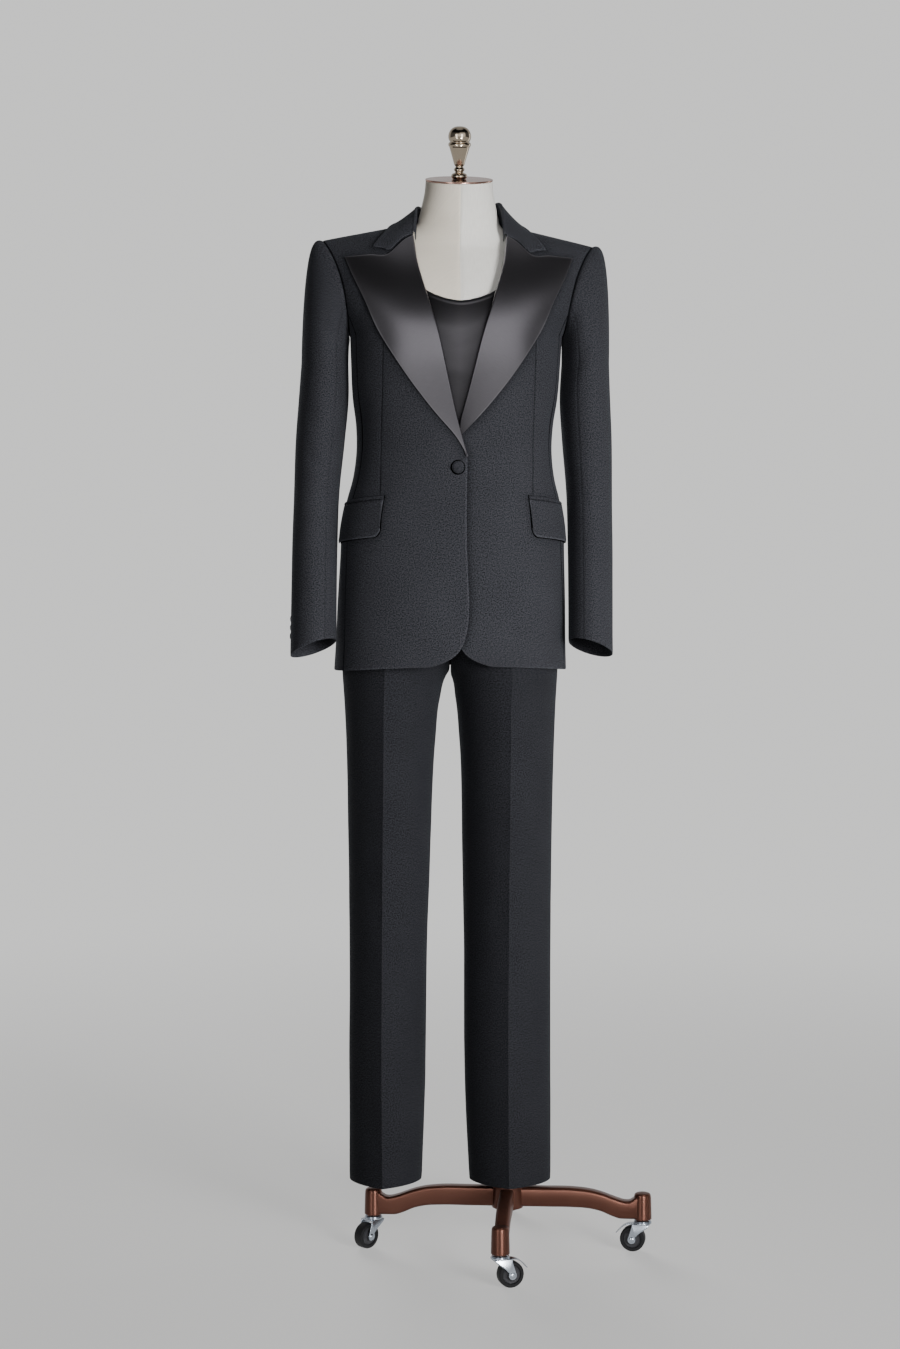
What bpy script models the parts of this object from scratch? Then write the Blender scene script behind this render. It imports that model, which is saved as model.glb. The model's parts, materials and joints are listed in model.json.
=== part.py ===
"""A one-button tuxedo with peak lapels, standing on a rolling dress form.

Metres, +Z up, the front faces -Y. The cloth is worked out in the body's own frame, whose middle plane is x = 0:
every panel is a stretch of one skin, given by a girth angle (0 at the front, a quarter turn at the side) and a
level (the height up to the underarm, then a share of the way up to the shoulder seam).
"""

import math

import bmesh
import bpy
import numpy as np

COLLECTION = "tuxedo_on_dress_form"

# The middle of the whole's box, seen from the body's axis.
BOX_MIDDLE = (0.0322, 0.0085)

# Cloth
WOOL = 0.0016
SATIN = 0.0012
SEAM = 0.0010

# How the form stands: it is turned a little, leans a little, and its coat's skirt is turned further.
FORM_TURN = math.radians(3.0)
SKIRT_TURN = math.radians(7.5)
SKIRT_TURN_FROM = 1.12
FORM_LEAN = 0.0187
HEM_Z = 0.8805
HEM_FRONT_Z = 0.8895

# The coat's skin
UNDERARM_Z = 1.385
SHOULDER_Z = 1.571
SHOULDER_TIP = (0.205, 1.527)
SHOULDER_SLOPE = 0.214
SHOULDER_ROLL = 0.016
GIRTH_POWER = 2.3
CHEST_ROUND = 1.5
BACK_ROUND = 2.0
ARMHOLE_REACH_FRONT = 0.50
ARMHOLE_REACH_BACK = 0.60
ARMHOLE_BEND = 0.5
UNDERARM_X = 0.1615
NECK_X = 0.073
BACK_NECK_DROP = 0.20
SIDE_SEAM_RISE = 0.195

# The front edge
LAP = 0.014
LAP_LIFT = 0.0012
LAP_FADE = (0.016, 0.070)
BREAK_Z = 1.197
CORNER_HEIGHT = 0.07

# Collar and lapels
LAPEL_LIFT = 0.0016
LAPEL_ROLL = 0.0024
LAPEL_TOP_Z = 1.5300
LAPEL_GAP = 0.0025
LEFT_LAPEL_FROM = 0.118
COLLAR_WALL = 0.0013
COLLAR_LIFT = 0.0046
COLLAR_ROLL = 0.0026
COLLAR_TILT = 0.0525

# Pockets
POCKET_Z = 1.1372
POCKET_FALL = 0.0105
POCKET_FROM = math.radians(39)
POCKET_TO = math.radians(97)
POCKET_LENGTH = 0.145
FLAP_DEPTH = 0.056
FLAP_CORNER = 0.012
JET_HEIGHT = 0.0052

# Sleeves
SLEEVE_HEAD_Z = 1.345
CUFF_Z = 0.9150
CUFF_TILT = 0.0155
CUFF_HIGH_AT = math.radians(135)
HEAD_SQUARE = 0.5
SLEEVE_SEAM = (0.0190, 0.0260)
SLEEVE_FRONT_SEAM = math.radians(118)
SLEEVE_BACK_SEAM = (math.radians(98), math.radians(42))

# Buttons
FRONT_BUTTON_Z = 1.1835
FRONT_BUTTON_RADIUS = 0.0107
FRONT_BUTTON_HEIGHT = 0.0065
CUFF_BUTTON_RADIUS = 0.0057
CUFF_BUTTON_HEIGHT = 0.0028
CUFF_BUTTON_PITCH = 0.0123
CUFF_BUTTONS = 3
CUFF_BUTTON_AT = math.radians(20)

# Trousers
TROUSER_HEM_Z = 0.108
WAIST_Z = 1.140
WAISTBAND_TOP_Z = 1.174
CREASE_X = 0.0945

# Top
TOP_BOTTOM_Z = 1.125
TOP_NECK_Z = 1.4320
TOP_STRAP_X = 0.118
TOP_BACK_NECK_Z = 1.485
TOP_LIFT = (0.0240, 0.0058)

# Form
CAP_TILT = math.radians(13.5)
CAP_RADIUS = 0.0515
CAP_THICKNESS = 0.003
NECK_TOP_Z = 1.622

# Stand
STAND_X = 0.0874
STAND_TURN = math.radians(-4.2)
ARM_REACH = 0.2046
ARM_WIDTH = 0.021
HUB_RADIUS = 0.024
HUB_TOP_Z = 0.0985
POLE_RADIUS = 0.0125
STUB_BOTTOM_Z = 0.0490
STUB_TOP_Z = 0.0878
STUB_RADII = (0.0136, 0.0123)

# Casters
WHEEL_RADIUS = 0.019
WHEEL_WIDTH = 0.0165
CASTER_TRAIL = 0.015
FORK_HALF_WIDTH = 0.0115
FORK_PLATE = 0.0016
AXLE_RADIUS = 0.0026
STEM_RADIUS = 0.0045
STEM_HEIGHT = 0.016
RUNNING_GAP = 0.00009


def table(columns, *rows):
    """The rows of a short table as one array for each named column."""
    return dict(zip(columns.split(), np.array(rows).T))


COAT = table(
    "height half_width front back",
    (0.8700, 0.1766, 0.1285, 0.134),
    (0.9250, 0.1742, 0.1270, 0.139),
    (0.9850, 0.1725, 0.1250, 0.141),
    (1.0460, 0.1700, 0.1230, 0.138),
    (1.1000, 0.1672, 0.1200, 0.128),
    (1.1370, 0.1610, 0.1170, 0.118),
    (1.1680, 0.1530, 0.1150, 0.109),
    (1.2130, 0.1478, 0.1140, 0.102),
    (1.2500, 0.1493, 0.1180, 0.102),
    (1.2900, 0.1550, 0.1250, 0.107),
    (1.3500, 0.1590, 0.1310, 0.115),
    (1.4000, 0.1615, 0.1290, 0.119),
)

# The roll line of the lapel: how far each front's edge lies from the middle.
ROLL = table(
    "height from_middle",
    (BREAK_Z, -LAP),
    (1.2500, 0.0020),
    (1.3200, 0.0195),
    (1.3850, 0.0348),
    (1.4450, 0.0532),
    (1.4900, 0.0655),
    (1.5300, 0.0700),
    (1.5800, 0.0720),
)

# The lapel's outer edge, from the break up to the tip of the peak.
LAPEL_EDGE = table(
    "share from_middle height",
    (0.00, -0.0130, 1.2015),
    (0.10, 0.0035, 1.2300),
    (0.20, 0.0280, 1.2565),
    (0.35, 0.0655, 1.3030),
    (0.50, 0.0945, 1.3450),
    (0.65, 0.1215, 1.3900),
    (0.80, 0.1405, 1.4340),
    (0.90, 0.1565, 1.4660),
    (1.00, 0.1710, 1.5000),
)

# How far the lapel's top edge dips below a straight line: the gorge, then the notch, then the peak.
NOTCH = table(
    "share dip",
    (0.000, 0.0000),
    (0.111, 0.0020),
    (0.222, 0.0085),
    (0.333, 0.0162),
    (0.650, 0.0085),
    (1.000, 0.0000),
)

SLEEVE = table(
    "height outer inner middle_y half_depth",
    (0.8900, 0.2420, 0.1740, -0.0600, 0.0450),
    (0.9800, 0.2420, 0.1745, -0.0370, 0.0480),
    (1.0600, 0.2425, 0.1745, -0.0170, 0.0510),
    (1.1500, 0.2420, 0.1725, 0.0000, 0.0550),
    (1.2300, 0.2405, 0.1655, 0.0080, 0.0590),
    (1.2900, 0.2370, 0.1612, 0.0090, 0.0630),
    (1.3500, 0.2335, 0.1630, 0.0060, 0.0660),
)

TROUSERS = table(
    "height outer inner shift front back crease",
    (0.1000, 0.1528, 0.0365, 0.0064, 0.0725, 0.0725, 0.36),
    (0.2320, 0.1528, 0.0310, 0.0075, 0.0730, 0.0735, 0.36),
    (0.4880, 0.1530, 0.0275, 0.0068, 0.0790, 0.0810, 0.34),
    (0.6240, 0.1545, 0.0236, 0.0055, 0.0840, 0.0880, 0.32),
    (0.7750, 0.1580, 0.0180, 0.0040, 0.0920, 0.0980, 0.26),
    (0.8350, 0.1605, 0.0120, 0.0036, 0.0970, 0.1040, 0.22),
    (0.8760, 0.1630, 0.0010, 0.0020, 0.1010, 0.1100, 0.18),
    (0.9000, 0.1640, -0.0200, 0.0010, 0.1030, 0.1140, 0.16),
    (0.9400, 0.1640, -0.0800, 0.0000, 0.1060, 0.1200, 0.12),
    (1.0000, 0.1610, -0.1610, 0.0000, 0.1080, 0.1230, 0.10),
    (1.0600, 0.1570, -0.1570, 0.0000, 0.1080, 0.1180, 0.08),
    (1.1200, 0.1490, -0.1490, 0.0000, 0.1060, 0.1080, 0.04),
    (1.1800, 0.1430, -0.1430, 0.0000, 0.1030, 0.0990, 0.00),
)

FORM = table(
    "height half_width front back power",
    (0.9400, 0.1360, 0.0860, 0.0980, 2.1),
    (0.9850, 0.1420, 0.0920, 0.1060, 2.2),
    (1.0500, 0.1400, 0.0920, 0.1030, 2.2),
    (1.1100, 0.1330, 0.0890, 0.0920, 2.2),
    (1.1600, 0.1250, 0.0850, 0.0820, 2.2),
    (1.2100, 0.1255, 0.0900, 0.0790, 2.2),
    (1.2700, 0.1350, 0.1050, 0.0890, 2.2),
    (1.3300, 0.1420, 0.1150, 0.0980, 2.2),
    (1.3850, 0.1470, 0.1150, 0.1040, 2.2),
    (1.4300, 0.1510, 0.1040, 0.1010, 2.2),
    (1.4700, 0.1540, 0.0840, 0.0890, 2.15),
    (1.5000, 0.1470, 0.0650, 0.0710, 1.9),
    (1.5180, 0.1290, 0.0550, 0.0610, 1.55),
    (1.5340, 0.1020, 0.0525, 0.0580, 1.4),
    (1.5450, 0.0770, 0.0525, 0.0565, 1.5),
    (1.5530, 0.0650, 0.0525, 0.0555, 1.7),
    (1.5650, 0.0605, 0.0530, 0.0550, 1.9),
    (1.5830, 0.0565, 0.0520, 0.0535, 2.0),
    (1.6050, 0.0522, 0.0515, 0.0515, 2.0),
    (NECK_TOP_Z, 0.0510, 0.0510, 0.0510, 2.0),
)


def flow(rows, column, at, key="height"):
    """A smooth curve through one named column of a table, read at each value of its key column."""
    x = rows[key]
    y = rows[column]
    slope = np.gradient(y, x)
    at = np.clip(at, x[0], x[-1])
    low = np.clip(np.searchsorted(x, at, side="right") - 1, 0, len(x) - 2)
    step = x[low + 1] - x[low]
    share = (at - x[low]) / step
    start = y[low] * (1 + 2 * share) + step * slope[low] * share
    end = y[low + 1] * (3 - 2 * share) + step * slope[low + 1] * (share - 1)
    return start * (1 - share) ** 2 + end * share**2


def smooth(low, high, at):
    """0 below low, 1 above high, and an S between them."""
    share = np.clip((at - low) / (high - low), 0, 1)
    return share * share * (3 - 2 * share)


def between(start, end, share):
    return start + (end - start) * share


# ---------------------------------------------------------------------------------------------
# The coat's skin
# ---------------------------------------------------------------------------------------------


def shoulder_height(x):
    """The shoulder seam's height above a place across the body. One shoulder sits a little lower."""
    return SHOULDER_TIP[1] + (SHOULDER_TIP[0] - abs(x)) * SHOULDER_SLOPE - SHOULDER_ROLL * x


def armhole_x(rise):
    """How far the armhole lies from the middle, from the underarm (0) up to the shoulder (1)."""
    return between(UNDERARM_X, SHOULDER_TIP[0], 0.45 * rise + 0.55 * rise**3)


def armhole_reach(rise, most):
    """How far the armhole goes forward or back, as a share of the coat's depth there."""
    return most * np.sqrt(np.sin(np.clip(rise / ARMHOLE_BEND, 0, 1) * math.pi / 2))


def armhole_angle(rise, most):
    """The armhole's girth angle, measured from the middle of the front or of the back."""
    return np.arccos(armhole_reach(rise, most) ** (GIRTH_POWER / 2))


def armhole_rise(angle, most):
    """The other way round: how far up the armhole's lower end is at this angle."""
    reach = np.cos(angle) ** (2 / GIRTH_POWER) / most
    return ARMHOLE_BEND * np.arcsin(np.clip(reach, 0, 1) ** 2) * 2 / math.pi


def coat_rise(level):
    return np.clip((level - UNDERARM_Z) / (SHOULDER_Z - UNDERARM_Z), 0, 1)


def coat_level(x, z):
    """The level of the skin's point over this place and height."""
    rise = (z - UNDERARM_Z) / (shoulder_height(x) - UNDERARM_Z)
    return np.where(z < UNDERARM_Z, z, UNDERARM_Z + rise * (SHOULDER_Z - UNDERARM_Z))


def coat_half_width(level, most):
    rise = coat_rise(level)
    below = flow(COAT, "half_width", np.minimum(level, UNDERARM_Z))
    reach = armhole_reach(rise, most)
    above = armhole_x(rise) / (1 - reach**GIRTH_POWER) ** (1 / GIRTH_POWER)
    return np.where(rise > 0, above, below)


def coat_angle(x, level, most=ARMHOLE_REACH_FRONT):
    """The girth angle at this distance from the middle, measured from the front's or the back's middle."""
    share = np.clip(abs(x) / coat_half_width(level, most), 0, 1)
    return np.sign(x) * np.arcsin(share ** (GIRTH_POWER / 2))


def side_seam(most):
    """The seam of the side panel runs up to where the armhole reaches this angle."""
    return armhole_angle(SIDE_SEAM_RISE, most)


def coat_skin(angle, level):
    """Points of the coat's outer skin. Each section is a squared oval, deeper or flatter at the back. Above the
    underarm the sections tilt and close up until front and back meet in the shoulder seam."""
    rise = coat_rise(level)
    low = np.minimum(level, UNDERARM_Z)
    ahead = np.cos(angle) >= 0
    front = flow(COAT, "front", low) * (1 - rise**CHEST_ROUND) ** (1 / CHEST_ROUND)
    back = flow(COAT, "back", low) * (1 - rise**BACK_ROUND) ** (1 / BACK_ROUND)
    wide_front = coat_half_width(level, ARMHOLE_REACH_FRONT)
    wide_back = coat_half_width(level, ARMHOLE_REACH_BACK)
    power = 2 / GIRTH_POWER
    across = np.sign(np.sin(angle)) * abs(np.sin(angle)) ** power
    along = abs(np.cos(angle)) ** power
    x = across * np.where(ahead, wide_front, wide_back)
    y = along * np.where(ahead, -front, back)
    z = np.where(rise > 0, UNDERARM_Z + (shoulder_height(x) - UNDERARM_Z) * rise, level)
    return np.stack([x, y, z], axis=-1)


def lifted(skin, angle, level, out, step=0.002):
    """The skin's points moved out along its normal, which is worked out from its neighbours."""
    round_ = skin(angle + step, level) - skin(angle - step, level)
    up = skin(angle, level + step / 4) - skin(angle, level - step / 4)
    normal = np.cross(round_, up)
    normal /= np.linalg.norm(normal, axis=-1, keepdims=True)
    return skin(angle, level) + normal * np.broadcast_to(out, np.shape(level))[..., None]


def on_form(points, turn=FORM_TURN):
    """Body's frame to the stand's: turned about the upright axis, then leant."""
    x, y, z = np.moveaxis(points, -1, 0)
    turned = x * np.cos(turn) - y * np.sin(turn)
    return np.stack(
        [
            turned + FORM_LEAN * np.maximum(z - HEM_Z, 0),
            x * np.sin(turn) + y * np.cos(turn),
            z,
        ],
        axis=-1,
    )


def skirt_turn(z):
    return between(SKIRT_TURN, FORM_TURN, smooth(HEM_Z, SKIRT_TURN_FROM, z))


def coat(angle, level, out=0.0):
    """A point of the coat where it stands, out from its skin."""
    points = lifted(coat_skin, angle, level, out)
    return on_form(points, skirt_turn(points[..., 2]))


# ---------------------------------------------------------------------------------------------
# Blender helpers
# ---------------------------------------------------------------------------------------------


def clear_scene():
    for thing in list(bpy.data.objects):
        bpy.data.objects.remove(thing, do_unlink=True)


def make_collection(name):
    group = bpy.data.collections.new(name)
    bpy.context.scene.collection.children.link(group)
    return group


def make_material(name, colour, roughness, metallic=0.0):
    material = bpy.data.materials.new(name)
    material.use_nodes = True
    shader = material.node_tree.nodes["Principled BSDF"]
    shader.inputs["Base Color"].default_value = (*colour, 1)
    shader.inputs["Roughness"].default_value = roughness
    shader.inputs["Metallic"].default_value = metallic
    return material


clear_scene()
parts = make_collection(COLLECTION)
cutters = make_collection("cutters")
cutters.hide_render = True

wool = make_material("wool", (0.018, 0.019, 0.022), 0.85)
satin = make_material("satin", (0.030, 0.029, 0.033), 0.35)
linen = make_material("linen", (0.62, 0.59, 0.54), 0.9)
gilt = make_material("gilt", (0.66, 0.55, 0.42), 0.2, 1.0)
copper = make_material("copper", (0.45, 0.22, 0.15), 0.35, 1.0)
zinc = make_material("zinc", (0.62, 0.64, 0.67), 0.3, 1.0)
tyre = make_material("tyre", (0.03, 0.03, 0.03), 0.6)

root = bpy.data.objects.new("whole", None)
root.location = (-BOX_MIDDLE[0], -BOX_MIDDLE[1], 0)
parts.objects.link(root)


def add(name, mesh, material, parent=root, smooth_angle=40):
    """A named object in the collection, shaded smooth but for its sharp edges."""
    mesh.name = name
    thing = bpy.data.objects.new(name, mesh)
    thing.parent = parent
    parts.objects.link(thing)
    mesh.materials.clear()
    mesh.materials.append(material)
    mesh.shade_smooth()
    mesh.set_sharp_from_angle(angle=math.radians(smooth_angle))
    return thing


def mesh_from(bm, name):
    mesh = bpy.data.meshes.new(name)
    bm.to_mesh(mesh)
    bm.free()
    return mesh


def panel(name, columns, rows, shape, wall, material):
    """A piece of cloth: a grid laid on shape(u, v), with its wall on the inner side."""
    bm = bmesh.new()
    bmesh.ops.create_grid(bm, x_segments=columns, y_segments=rows, size=0.5)
    flat = np.array([vertex.co[:2] for vertex in bm.verts]) + 0.5
    flat = np.clip(np.round(flat, 5), 0, 1)
    for vertex, place in zip(bm.verts, shape(flat[:, 0], flat[:, 1])):
        vertex.co = place
    thing = add(name, mesh_from(bm, name), material)
    thickness = thing.modifiers.new("wall", "SOLIDIFY")
    thickness.thickness = wall
    thickness.offset = -1
    thickness.use_even_offset = True
    return thing


def turned(name, profile, steps, material, parent=root):
    """A turned piece: (radius, height) down its outer side, swept round +Z by a Screw modifier."""
    bm = bmesh.new()
    points = [bm.verts.new((radius, 0, height)) for radius, height in profile]
    for start, end in zip(points, points[1:]):
        bm.edges.new((start, end))
    thing = add(name, mesh_from(bm, name), material, parent)
    screw = thing.modifiers.new("turn", "SCREW")
    screw.steps = steps
    screw.render_steps = steps
    screw.use_merge_vertices = True
    screw.merge_threshold = 0.00005
    return thing


# ---------------------------------------------------------------------------------------------
# Coat
# ---------------------------------------------------------------------------------------------


def coat_levels(v, hem):
    """Rows from the hem to the shoulder: close at the hem's corner, close again over the shoulder."""
    corner = hem + CORNER_HEIGHT * (v / 0.2) ** 2
    middle = between(hem + CORNER_HEIGHT, UNDERARM_Z, (v - 0.2) / 0.4)
    upper = UNDERARM_Z + (SHOULDER_Z - UNDERARM_Z) * np.sin((v - 0.6) / 0.4 * math.pi / 2) * 0.9997
    return np.where(v < 0.2, corner, np.where(v < 0.6, middle, upper))


def hem_level(angle):
    """The hem is a little higher in front."""
    return between(HEM_Z, HEM_FRONT_Z, np.clip(np.cos(angle), 0, 1) ** 2)


def edge_x(level):
    """Where the front's edge lies: below the break straight, with a rounded corner at the hem, and above it
    the roll line, found by a few rounds because its height follows the tilt of the rows."""
    above_hem = np.maximum(level - HEM_FRONT_Z, 0)
    setback = 0.040 * np.exp(-above_hem / 0.011) + 0.020 * np.clip(1 - above_hem / 0.1, 0, 1) ** 2
    x = np.full(np.shape(level), 0.05)
    rise = coat_rise(level)
    for _ in range(6):
        z = np.where(rise > 0, UNDERARM_Z + (shoulder_height(x) - UNDERARM_Z) * rise, level)
        x = flow(ROLL, "from_middle", z)
    return np.where(level < BREAK_Z, -LAP + setback, x)


def front_side_angle(level):
    """The front's outer edge: the seam with the side panel, then the armhole."""
    armhole_edge = armhole_angle(coat_rise(level), ARMHOLE_REACH_FRONT)
    return np.minimum(side_seam(ARMHOLE_REACH_FRONT), armhole_edge) - SEAM / 0.3


def back_side_angle(level):
    """The same for the back, measured from its middle."""
    armhole_edge = armhole_angle(coat_rise(level), ARMHOLE_REACH_BACK)
    return np.minimum(side_seam(ARMHOLE_REACH_BACK), armhole_edge) - SEAM / 0.3


def lap_lift(x, side):
    """The right front lies on the left one where they overlap, so one is eased out and the other in."""
    return -side * LAP_LIFT * (1 - smooth(LAP_FADE[0], LAP_FADE[1], abs(x)))


def coat_front(side):
    def shape(u, v):
        to_edge = u if side < 0 else 1 - u
        level = coat_levels(v, HEM_FRONT_Z)
        edge = side * edge_x(level)
        angle = between(side * front_side_angle(level), coat_angle(edge, level), to_edge)
        level = coat_levels(v, hem_level(angle))
        x = coat_skin(angle, level)[..., 0]
        return coat(angle, level, lap_lift(x, side))

    return shape


def coat_side(side):
    def shape(u, v):
        start = side_seam(ARMHOLE_REACH_FRONT) + SEAM / 0.3
        end = math.pi - side_seam(ARMHOLE_REACH_BACK) - SEAM / 0.3
        angle = between(start, end, u if side > 0 else 1 - u)
        front_rise = armhole_rise(np.minimum(angle, math.pi / 2), ARMHOLE_REACH_FRONT)
        back_rise = armhole_rise(math.pi - np.maximum(angle, math.pi / 2), ARMHOLE_REACH_BACK)
        top = np.maximum(front_rise, back_rise) / SIDE_SEAM_RISE
        level = coat_levels(v * 0.65, hem_level(angle))
        last, corner = coat_levels(np.array([0.55, 0.65]), HEM_Z)
        squeezed = (between(UNDERARM_Z, corner, top) - last) / (corner - last)
        level = np.minimum(level, last) + np.maximum(level - last, 0) * squeezed
        return coat(side * angle, level)

    return shape


def back_neck_rise(x):
    """How far up the back goes: to the shoulder seam, and lower in the middle for the neck."""
    return 1 - BACK_NECK_DROP * np.clip(1 - (x / NECK_X) ** 2, 0, 1)


def coat_back(side):
    def shape(u, v):
        share = u if side < 0 else 1 - u
        share = np.maximum(share, 0.0012)
        at_top = share * back_side_angle(np.full(np.shape(v), SHOULDER_Z))
        wide = coat_half_width(np.float64(SHOULDER_Z), ARMHOLE_REACH_BACK)
        top = back_neck_rise(wide * np.sin(at_top) ** (2 / GIRTH_POWER))
        level = coat_levels(v, HEM_Z)
        level = np.minimum(level, UNDERARM_Z) + np.maximum(level - UNDERARM_Z, 0) * top
        angle = math.pi - share * back_side_angle(level)
        return coat(side * angle, level)

    return shape


panel("coat_front_right", 9, 20, coat_front(-1), WOOL, wool)
panel("coat_front_left", 9, 20, coat_front(1), WOOL, wool)
for name, side in (("right", -1), ("left", 1)):
    panel(f"coat_side_{name}", 4, 13, coat_side(side), WOOL, wool)
    panel(f"coat_back_{name}", 8, 20, coat_back(side), WOOL, wool)


# ---------------------------------------------------------------------------------------------
# Lapels and collar
# ---------------------------------------------------------------------------------------------


def lapel(side, start):
    """Lines from the roll line out to the lapel's edge. The topmost dips into the notch; the others fade that.
    Where the fronts overlap, the left lapel starts beside the right front's edge."""

    def shape(u, v):
        out = u if side > 0 else 1 - u
        v = between(start, 1, v)
        roll_z = between(BREAK_Z + 0.003, LAPEL_TOP_Z, v)
        roll_x = flow(ROLL, "from_middle", roll_z)
        if side > 0:
            roll_x = np.maximum(roll_x, LAPEL_GAP - roll_x)
        x = between(roll_x, flow(LAPEL_EDGE, "from_middle", v, "share"), out)
        z = between(roll_z, flow(LAPEL_EDGE, "height", v, "share"), out)
        z = z - flow(NOTCH, "dip", out, "share") * v**5
        level = coat_level(side * x, z)
        rolled = LAPEL_ROLL * (1 - out) ** 3 * smooth(0, 0.3, v)
        lift = SATIN + LAPEL_LIFT + rolled + lap_lift(x, side)
        return coat(coat_angle(side * x, level), level, lift)

    return shape


panel("lapel_right", 9, 12, lapel(-1, 0.0), SATIN, satin)
panel("lapel_left", 9, 11, lapel(1, LEFT_LAPEL_FROM), SATIN, satin)

# The collar from the middle of the back (0) to the gorge (1): its foot inside the neck, its fold, and, in plan
# only, the edge of its fall, which lies on the coat.
STAND_FOOT = table(
    "share x y z",
    (0.00, 0.0000, 0.0668, 1.5350),
    (0.25, 0.0415, 0.0530, 1.5420),
    (0.50, 0.0664, 0.0080, 1.5550),
    (0.75, 0.0664, -0.0280, 1.5450),
    (0.90, 0.0660, -0.0400, 1.5335),
    (1.00, 0.0655, -0.0445, 1.5265),
)
FOLD = table(
    "share x y z",
    (0.00, 0.0000, 0.0690, 1.5770),
    (0.25, 0.0410, 0.0540, 1.5795),
    (0.50, 0.0618, 0.0120, 1.5855),
    (0.75, 0.0665, -0.0270, 1.5640),
    (0.90, 0.0680, -0.0405, 1.5445),
    (1.00, 0.0690, -0.0445, 1.5355),
)
FALL_EDGE = table(
    "share x y",
    (0.00, 0.0000, 0.0790),
    (0.20, 0.0450, 0.0670),
    (0.35, 0.0800, 0.0400),
    (0.50, 0.1010, 0.0000),
    (0.65, 0.1110, -0.0225),
    (0.80, 0.1205, -0.0350),
    (1.00, 0.1306, -0.0475),
)
# The collar's front end in plan, from the fold down the gorge to the notch and out along the leaf.
COLLAR_END = table(
    "share x y",
    (0.00, 0.0700, -0.0440),
    (0.25, 0.0842, -0.0472),
    (0.50, 0.1030, -0.0595),
    (0.75, 0.1166, -0.0537),
    (1.00, 0.1306, -0.0475),
)


def coat_above(x, y):
    """The height of the coat's skin over a place near the shoulders, found by halving."""
    most = np.where(y < 0, ARMHOLE_REACH_FRONT, ARMHOLE_REACH_BACK)
    side = np.where(x < 0, -1, 1)
    low = np.zeros(np.shape(x))
    high = np.ones(np.shape(x))
    for _ in range(20):
        rise = (low + high) / 2
        level = UNDERARM_Z + rise * (SHOULDER_Z - UNDERARM_Z)
        angle = coat_angle(x, level, most)
        angle = np.where(y < 0, angle, side * math.pi - angle)
        covers = abs(coat_skin(angle, level)[..., 1]) > abs(y)
        low = np.where(covers, rise, low)
        high = np.where(covers, high, rise)
    return UNDERARM_Z + (shoulder_height(x) - UNDERARM_Z) * low


def line_of(rows, share, side, columns="xy"):
    """A line of a table with its x mirrored to one side."""
    values = [flow(rows, column, share, "share") for column in columns]
    return np.stack([side * values[0], *values[1:]], axis=-1)


def collar_fall(share, side, top, down):
    """From the fold's outer side down to the edge. The last columns bend in plan to follow the gorge."""
    edge = line_of(FALL_EDGE, share, side)
    ones = np.ones(np.shape(share))
    bend = line_of(COLLAR_END, down, side)
    bend -= between(line_of(COLLAR_END, 0 * ones, side), line_of(COLLAR_END, ones, side), down[..., None])
    plan = between(top[..., :2], edge, down[..., None]) + bend * smooth(0.75, 1, share)[..., None]
    skin = coat_above(plan[..., 0], plan[..., 1]) + COLLAR_LIFT
    start = top[..., 2] - coat_above(top[..., 0], top[..., 1]) - COLLAR_LIFT
    return np.concatenate([plan, (skin + start * (1 - down) ** 1.6)[..., None]], axis=-1)


def collar(u, v):
    """The stand rises from its foot, turns over at the fold, and the fall comes down over the coat. The fold
    stands a little higher on the left."""
    share = abs(2 * u - 1)
    side = np.where(u < 0.5, -1.0, 1.0)
    foot = line_of(STAND_FOOT, share, side, "xyz")
    fold = line_of(FOLD, share, side, "xyz")
    foot[..., 2] -= SHOULDER_ROLL * foot[..., 0]
    tilt = between(COLLAR_TILT, -SHOULDER_ROLL, smooth(0.5, 0.85, share))
    fold[..., 2] += tilt * fold[..., 0]
    outward = line_of(FALL_EDGE, share, side) - foot[..., :2]
    outward /= np.linalg.norm(outward, axis=-1, keepdims=True)
    outward = np.concatenate([outward, 0 * outward[..., :1]], axis=-1) * COLLAR_ROLL
    upward = np.array([0, 0, COLLAR_ROLL])
    turn = (np.clip((v - 0.25) / 0.25, 0, 1) * math.pi)[..., None]
    stand = between(foot, fold - outward, np.clip(v / 0.25, 0, 1)[..., None])
    over = fold - outward * np.cos(turn) + upward * np.sin(turn)
    fall = collar_fall(share, side, fold + outward, np.clip((v - 0.5) / 0.5, 0, 1))
    at = v[..., None]
    return on_form(np.where(at <= 0.25, stand, np.where(at < 0.5, over, fall)))


panel("coat_collar", 20, 8, collar, COLLAR_WALL, wool)


# ---------------------------------------------------------------------------------------------
# Sleeves
# ---------------------------------------------------------------------------------------------


def armhole(around, side):
    """The armhole's loop: 0 at the shoulder, a quarter turn at the front, half a turn under the arm."""
    rise = (1 + np.cos(around)) / 2
    level = UNDERARM_Z + rise * (SHOULDER_Z - UNDERARM_Z)
    ahead = np.sin(around) >= 0
    angle = np.where(
        ahead,
        armhole_angle(rise, ARMHOLE_REACH_FRONT),
        math.pi - armhole_angle(rise, ARMHOLE_REACH_BACK),
    )
    points = coat_skin(side * angle, level)
    points[..., 0] += side * SEAM * 2
    return points


def sleeve_ring(around, height, side):
    outer = flow(SLEEVE, "outer", height)
    inner = flow(SLEEVE, "inner", height)
    depth = flow(SLEEVE, "half_depth", height)
    x = (outer + inner) / 2 + (outer - inner) / 2 * np.cos(around)
    y = flow(SLEEVE, "middle_y", height) - depth * np.sin(around)
    tilt = CUFF_TILT * (1 - smooth(CUFF_Z, 1.16, height))
    z = height + tilt * np.cos(around - CUFF_HIGH_AT)
    return np.stack([side * x, y, z], axis=-1)


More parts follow.
